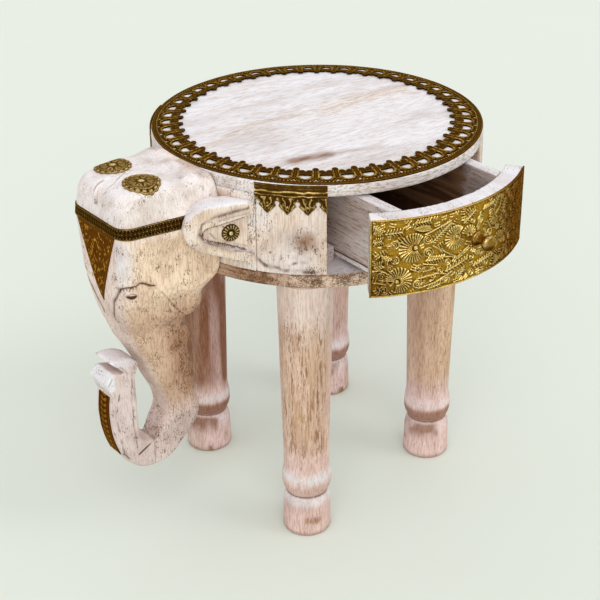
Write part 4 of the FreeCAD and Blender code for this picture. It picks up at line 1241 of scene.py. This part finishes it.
def valance(side):
    """Apron with two mouldings over pointed drops, and keyholes between the drops."""
    low, high = node_box("valance_" + side)
    start = math.radians(SHOULDER_ANGLE) * RADIUS
    end = math.acos(min(abs(low[0]), abs(high[0])) / RADIUS) * RADIUS
    pitch = math.radians(VALANCE_PITCH) * RADIUS
    first = start + math.radians(VALANCE_LEAD) * RADIUS
    bottom, top = low[2], TABLE_HEIGHT + 0.4
    apex = bottom + VALANCE_NOTCH

    def across(s):
        return np.abs((s - first + pitch / 2) % pitch - pitch / 2)

    def shape(s, z):
        gap = across(s)
        sheet = most(start - s, s - end, bottom - z, z - top)
        notch = 0.75 * (VALANCE_SLOPE * (apex - z) - gap)
        hole = VALANCE_HOLE - np.hypot(gap, z - apex - 1.2)
        return most(sheet, notch, hole)

    s, z = np.meshgrid(np.arange(start, end + 0.4, VALANCE_CELL), np.arange(bottom - 0.2, top + 0.4, VALANCE_CELL))
    s, z, quads = trim_to(s, z, shape)
    drop = pitch / 2 - across(s)
    inner = shape(s, z)
    place = np.stack([s.ravel(), z.ravel(), np.zeros(s.size)], axis=1)

    def uneven(stretch, size):
        return noise(place * [1, stretch, 0], size).reshape(s.shape)

    wavy, rubbed = 0.7 * uneven(0, 5), 0.75 + 0.35 * uneven(0.4, 6)
    lean = np.arctan2(drop, z - bottom + 1) + 0.12 * uneven(1, 5)
    ribs = most(bell(lean - 0.62, 0.09), 0.8 * bell(lean - 0.2, 0.07)) * smooth(3, 6, z - bottom)
    curls = most(ribs, 0.8 * bell(uneven(1, 4.2), 0.08))
    mould = most(0.4 * bell(z - top + 1, 0.9), 0.35 * bell(z - top + 4, 1.6), 0.95 * bell(z - top + 8 + wavy, 1.1),
                 0.8 * bell(z - top + 12.4 - wavy, 0.7)) * rubbed
    inset = 0.74 * (across(s) - VALANCE_SLOPE * (apex - z))
    spot = smooth(1.5, 0.9, np.hypot(drop, z - bottom - 8.5))
    veins = most(0.8 * curls, 0.8 * spot, 0.4 * bell(inset - 2.9, 0.7))
    veins = veins * (z < top - MOULDING) * (inner < -1.2)
    edge = 0.65 * bell(inner + 0.7, 0.55) * (z < top - MOULDING) * rubbed
    relief = most(mould, veins, edge).ravel()
    mirror = -1 if side == "right" else 1
    turn = mirror * s / RADIUS
    raised = (RADIUS + 0.9 + 0.9 * relief).reshape(s.shape)
    add_sheet("pointed_valance_" + side, rounded(raised, turn, z), rounded(RADIUS + 0.05, turn, z), quads, TABLE,
              "aged_brass", aged_brass, ["valance_" + side], relief=0.32 + 0.9 * relief,
              tarnish=0.2 * smooth(12, 16, top - z).ravel())


for side_name in SIDES:
    valance(side_name)


BAND_REAR = 222
BAND_REACH = 120
BAND_SAMPLES = 500
BAND_BEAD = 3.4
BAND_LINK = 9
BAND_STEP = 0.6
BAND_ROW = 0.55


def head_band():
    """Band of beads and lozenges round the head, from ear to ear."""
    low, high = node_box("head_band")
    middle, width = (low[2] + high[2]) / 2, high[2] - low[2]
    turns = np.radians(np.linspace(90, -90, BAND_SAMPLES))
    pivot = np.array([BAND_REAR, 0, middle])
    ways = rounded(1, turns, 0)
    contour = np.array([cast(head_skin, [pivot + BAND_REACH * way], -way)[0] for way in ways])
    length = np.concatenate([[0], np.cumsum(np.linalg.norm(np.diff(contour, axis=0), axis=1))])
    along = np.arange(0, length[-1], BAND_STEP)
    t = np.arange(-width / 2, width / 2 + 0.1, BAND_ROW)
    ways = rounded(1, np.interp(along, length, turns), 0)
    rows = np.outer(t, [0, 0, 1])
    base = np.stack([cast(head_skin, pivot + BAND_REACH * way + rows, -way) for way in ways], axis=1).reshape(-1, 3)
    out = np.tile(ways, (len(t), 1))
    s, across = np.meshgrid(along, t)
    edge = bell(np.abs(across) - 5.6, 0.6)
    bead = np.abs(s % BAND_BEAD - BAND_BEAD / 2)
    beads = half_ball(bead / 1.3, np.abs(across) - 3.9)
    link = np.abs(s % BAND_LINK - BAND_LINK / 2)
    links = bell(np.abs(across) - 2.1 * np.sin(2 * np.pi * link / BAND_LINK), 0.55)
    dots = smooth(1.2, 0.7, np.hypot(link - 2.2, across))
    relief = most(0.9 * edge, 0.8 * beads, 0.7 * links, 0.7 * dots).ravel()
    upper = base + out * (0.8 + 0.7 * relief)[:, None]
    add_sheet("beaded_band", upper, base - out * 0.6, grid_quads(*s.shape), TABLE, "aged_brass",
              aged_brass, ["head_band"], relief=relief, tarnish=np.full(relief.shape, 0.4))


head_band()


def seeded_strokes(work, count, length, lean, seed):
    """Short hammered leaf strokes scattered over a sheet."""
    draw = np.random.default_rng(seed)
    for _ in range(count):
        place = draw.uniform(0, work.u[-1]), draw.uniform(0, work.v[-1])
        work.press(place, length + 2, leaf(length * draw.uniform(0.6, 1.1), 0.9), lean + draw.uniform(-28, 28))


AHEAD_OF_HEAD = 340


def met_from_ahead(skin, y, z):
    """Where places across and up meet a skin, seen from ahead of the head."""
    starts = np.stack([np.full(y.size, AHEAD_OF_HEAD), y.ravel(), z.ravel()], axis=1)
    return cast(skin, starts, (-1, 0, 0))


def forehead_plate():
    low, high = node_box("forehead_plate")
    half, height = (high[1] - low[1]) / 2, high[2] - low[2]
    work = Emboss(2 * half, height, cell=0.6)
    seeded_strokes(work, count=330, length=6, lean=90, seed=5)

    def shape(a, b):
        return most(0.92 * (np.abs(a - half) - half * b / height), b - height)

    a, b = np.meshgrid(work.u, work.v)
    moved_a, moved_b, quads = trim_to(a, b, shape)
    edge = bell(shape(a, b) + 1.6, 0.8)
    relief = most(work.high * (shape(a, b) < -2.6), 0.4 * edge).ravel()
    base = met_from_ahead(head_skin, low[1] + moved_a, low[2] + moved_b)
    upper = base + np.outer(0.8 + 0.5 * relief, [1, 0, 0])
    add_sheet("forehead_triangle", upper, base - [0.6, 0, 0], quads, TABLE, "aged_brass", plate_brass,
              ["forehead_plate"], relief=0.26 + 0.75 * relief)


forehead_plate()


STRIP_PITCH = 7
STRIP_OUT = (0.97, 0, -0.243)


def trunk_strip():
    low, high = node_box("trunk_strip")
    width, height = high[1] - low[1], high[2] - low[2]
    work = Emboss(width, height, cell=0.55)
    for k in range(int(height / STRIP_PITCH) + 1):
        for side in (1, -1):
            work.press((width / 2 + side * 0.6, STRIP_PITCH * k), 12, leaf(9, 2), 90 - side * 40)
        work.press((width / 2, STRIP_PITCH * k), 4, leaf(5, 1.2), 90)
    u, v = np.meshgrid(work.u, work.v)
    margin = np.minimum(u, width - u)
    relief = most(work.high * smooth(1.8, 2.6, margin), 0.8 * bell(margin - 1, 0.6)).ravel()
    base = met_from_ahead(trunk_skin, low[1] + u, low[2] + v)
    out = np.array(STRIP_OUT)
    upper = base + np.outer(0.8 + 0.6 * relief, out)
    add_sheet("trunk_strip_leaves", upper, base - 0.6 * out, grid_quads(*u.shape), TABLE, "aged_brass",
              plate_brass, ["trunk_strip"], relief=0.1 + 0.7 * relief)


trunk_strip()


ROSETTE_SPOKES = 192
BOSS_LOBES = 16
BOSS_PETALS = 8
EAR_TURN = -20.3
STUD_RADIUS = 10
STUD_ALONG = 26
STUD_HEIGHT = 394
STUD_FLUTES = 16


def rosette(radius, lobes, rings, scallop):
    """A round grid with a scalloped rim: distance out from 0 to 1, turn, share of a lobe, radius, and quads."""
    turns = np.linspace(0, 2 * math.pi, ROSETTE_SPOKES, endpoint=False)
    t, turn = np.meshgrid(np.linspace(0, 1, rings)[1:], turns, indexing="ij")
    lobe = np.abs(np.cos(lobes / 2 * turn))
    reach = radius * (0.02 + 0.98 * t * (1 - scallop * (1 - lobe) * t ** 4))
    return t, turn, lobe, reach, grid_quads(*t.shape, closed=True)


def crown_boss(side):
    """Scalloped rosette hammered to the crown: beads at the rim, petals, and a button."""
    low, high = node_box("crown_boss_" + side)
    centre = (low + high) / 2
    t, turn, lobe, reach, quads = rosette((high[0] - low[0]) / 2, BOSS_LOBES, rings=46, scallop=0.05)
    plan = rounded(reach, turn, TABLE_HEIGHT + 40) + centre * [1, 1, 0]
    base = cast(head_skin, plan, (0, 0, -1))
    beads = smooth(0.25, 0.8, lobe) * bell(t - 0.88, 0.07)
    ring = most(bell(t - 0.74, 0.025), bell(t - 0.98, 0.03))
    petal = np.abs(np.cos(BOSS_PETALS / 2 * turn))
    petals = smooth(0.2, 0.65, petal) * bell(t - 0.5, 0.16) * (1 - 0.6 * bell(petal - 1, 0.06))
    loops = bell(np.abs(petal - smooth(0.72, 0.3, t)), 0.12) * smooth(0.28, 0.34, t) * smooth(0.7, 0.64, t)
    button = half_ball(t / 0.2)
    relief = most(0.8 * beads, 0.8 * ring, 0.6 * petals, 0.75 * loops, 0.9 * button).ravel()
    dome = 1.3 * (1 - t.ravel() ** 2)
    upper = base + np.outer(0.8 + dome + 0.9 * relief, [0, 0, 1])
    add_sheet("crown_rosette_" + side, upper, base - [0, 0, 0.8], quads, TABLE, "aged_brass",
              boss_brass, ["crown_boss_" + side], relief=0.08 + 0.9 * relief)


def ear_stud(side):
    """Fluted rosette with a bright button, on the field of an ear."""
    mirror = np.array([1, -1 if side == "right" else 1, 1])
    along, out = polar(1, EAR_TURN), polar(1, EAR_TURN + 90)
    outside = polar(RADIUS, SHOULDER_ANGLE, STUD_HEIGHT) + along * STUD_ALONG + out * 20
    seat = cast(ear_skins[side], [outside * mirror], -out * mirror)[0] * mirror
    t, turn, flute, reach, quads = rosette(STUD_RADIUS, STUD_FLUTES, rings=34, scallop=0.04)
    petals = smooth(0.4, 0.85, flute) * smooth(0.36, 0.5, t) * smooth(1.02, 0.86, t)
    button = half_ball(t / 0.26)
    lift = 0.6 + 1.8 * half_ball(t) * smooth(0.1, 0.6, t) + petals + 2.6 * button
    lift = np.where(t > 0.97, 0.1, lift).reshape(-1, 1)
    sideways, upward = (reach * np.cos(turn)).reshape(-1, 1), (reach * np.sin(turn)).reshape(-1, 1)
    place = seat + sideways * along + upward * [0, 0, 1]
    relief = most(0.7 * petals, 0.2 * bell(t - 0.36, 0.05), 1.1 * button).ravel()
    add_sheet("fluted_stud_" + side, (place + lift * out) * mirror, (place - out) * mirror, quads, TABLE, "aged_brass",
              boss_brass, ["ear_stud_" + side], relief=relief)


for rosette_kind in (crown_boss, ear_stud):
    for side_name in SIDES:
        rosette_kind(side_name)


# Floor, light and camera

SUNS = (((0.48, 0.64, 0.60), 0.95, 50), ((-0.45, 0.60, 0.66), 0.38, 25))
GLINT_WAYS = ((0.75, 0.45, 0.62), (-0.45, -0.55, 0.72))
GLINT_POWER = 0.35
GLINT_SPREAD = 14
SKY_LOW = (0.56, 0.665, 0.675, 1)
SKY_HIGH = (0.92, 0.868, 0.857, 1)
FLOOR_HALF = 20
CAMERA_FAR = 50


def add_floor():
    shade = Shade("floor")
    grain = shade.noise(shade.place, 400, 2)
    shade.set(Base_Color=shade.mix(grain, tone(226, 232, 223), tone(228, 234, 225)), Roughness=0.9,
              Specular_IOR_Level=0)
    mesh = bpy.data.meshes.new("floor")
    corners = ((-1, -1), (1, -1), (1, 1), (-1, 1))
    mesh.from_pydata([(FLOOR_HALF * a, FLOOR_HALF * b, 0) for a, b in corners], [], [(0, 1, 2, 3)])
    mesh.materials.append(shade.material)
    floor = new_object("floor", mesh)


def add_sun(name, way, power, spread_angle):
    light = bpy.data.lights.new(name, "SUN")
    light.energy = power
    light.angle = math.radians(spread_angle)
    lamp = new_object(name, light)
    lamp.rotation_euler = (-Vector(way)).to_track_quat("-Z", "Y").to_euler()
    return lamp


def add_world():
    world = bpy.data.worlds.new("studio")
    world.use_nodes = True
    nodes, links = world.node_tree.nodes, world.node_tree.links
    place = nodes.new("ShaderNodeTexCoord")
    part = nodes.new("ShaderNodeSeparateXYZ")
    ramp = nodes.new("ShaderNodeValToRGB")
    for element, colour in zip(ramp.color_ramp.elements, (SKY_LOW, SKY_HIGH)):
        element.color = colour
    links.new(place.outputs["Generated"], part.inputs[0])
    links.new(part.outputs["Z"], ramp.inputs[0])
    links.new(ramp.outputs[0], nodes["Background"].inputs["Color"])
    bpy.context.scene.world = world


CAMERA_PLACE = np.array([950.17, 1175.25, 1029.60])
CAMERA_YAW = 231.876
CAMERA_PITCH = -28.323
CAMERA_ROLL = -0.700
CAMERA_LENS = 84.1
CAMERA_SENSOR = 36


def add_camera():
    data = bpy.data.cameras.new("camera")
    data.lens = CAMERA_LENS
    data.sensor_width = CAMERA_SENSOR
    data.clip_end = CAMERA_FAR
    camera = new_object("camera", data)
    yaw, pitch, roll = (math.radians(angle) for angle in (CAMERA_YAW, CAMERA_PITCH, CAMERA_ROLL))
    ahead = Vector((math.cos(pitch) * math.cos(yaw), math.cos(pitch) * math.sin(yaw), math.sin(pitch)))
    level = ahead.cross(Vector((0, 0, 1))).normalized()
    above = level.cross(ahead)
    right = level * math.cos(roll) + above * math.sin(roll)
    up = above * math.cos(roll) - level * math.sin(roll)
    turn = Matrix((right, up, -ahead)).transposed().to_4x4()
    camera.matrix_world = Matrix.Translation(Vector((CAMERA_PLACE + AXIS) * MM)) @ turn
    bpy.context.scene.camera = camera


add_floor()
add_world()
for number, sun in enumerate(SUNS):
    add_sun("sun_%d" % number, *sun)
for number, glint_way in enumerate(GLINT_WAYS):
    add_sun("glint_%d" % number, glint_way, GLINT_POWER, GLINT_SPREAD).visible_diffuse = False
add_camera()
bpy.context.scene.view_settings.view_transform = "Standard"
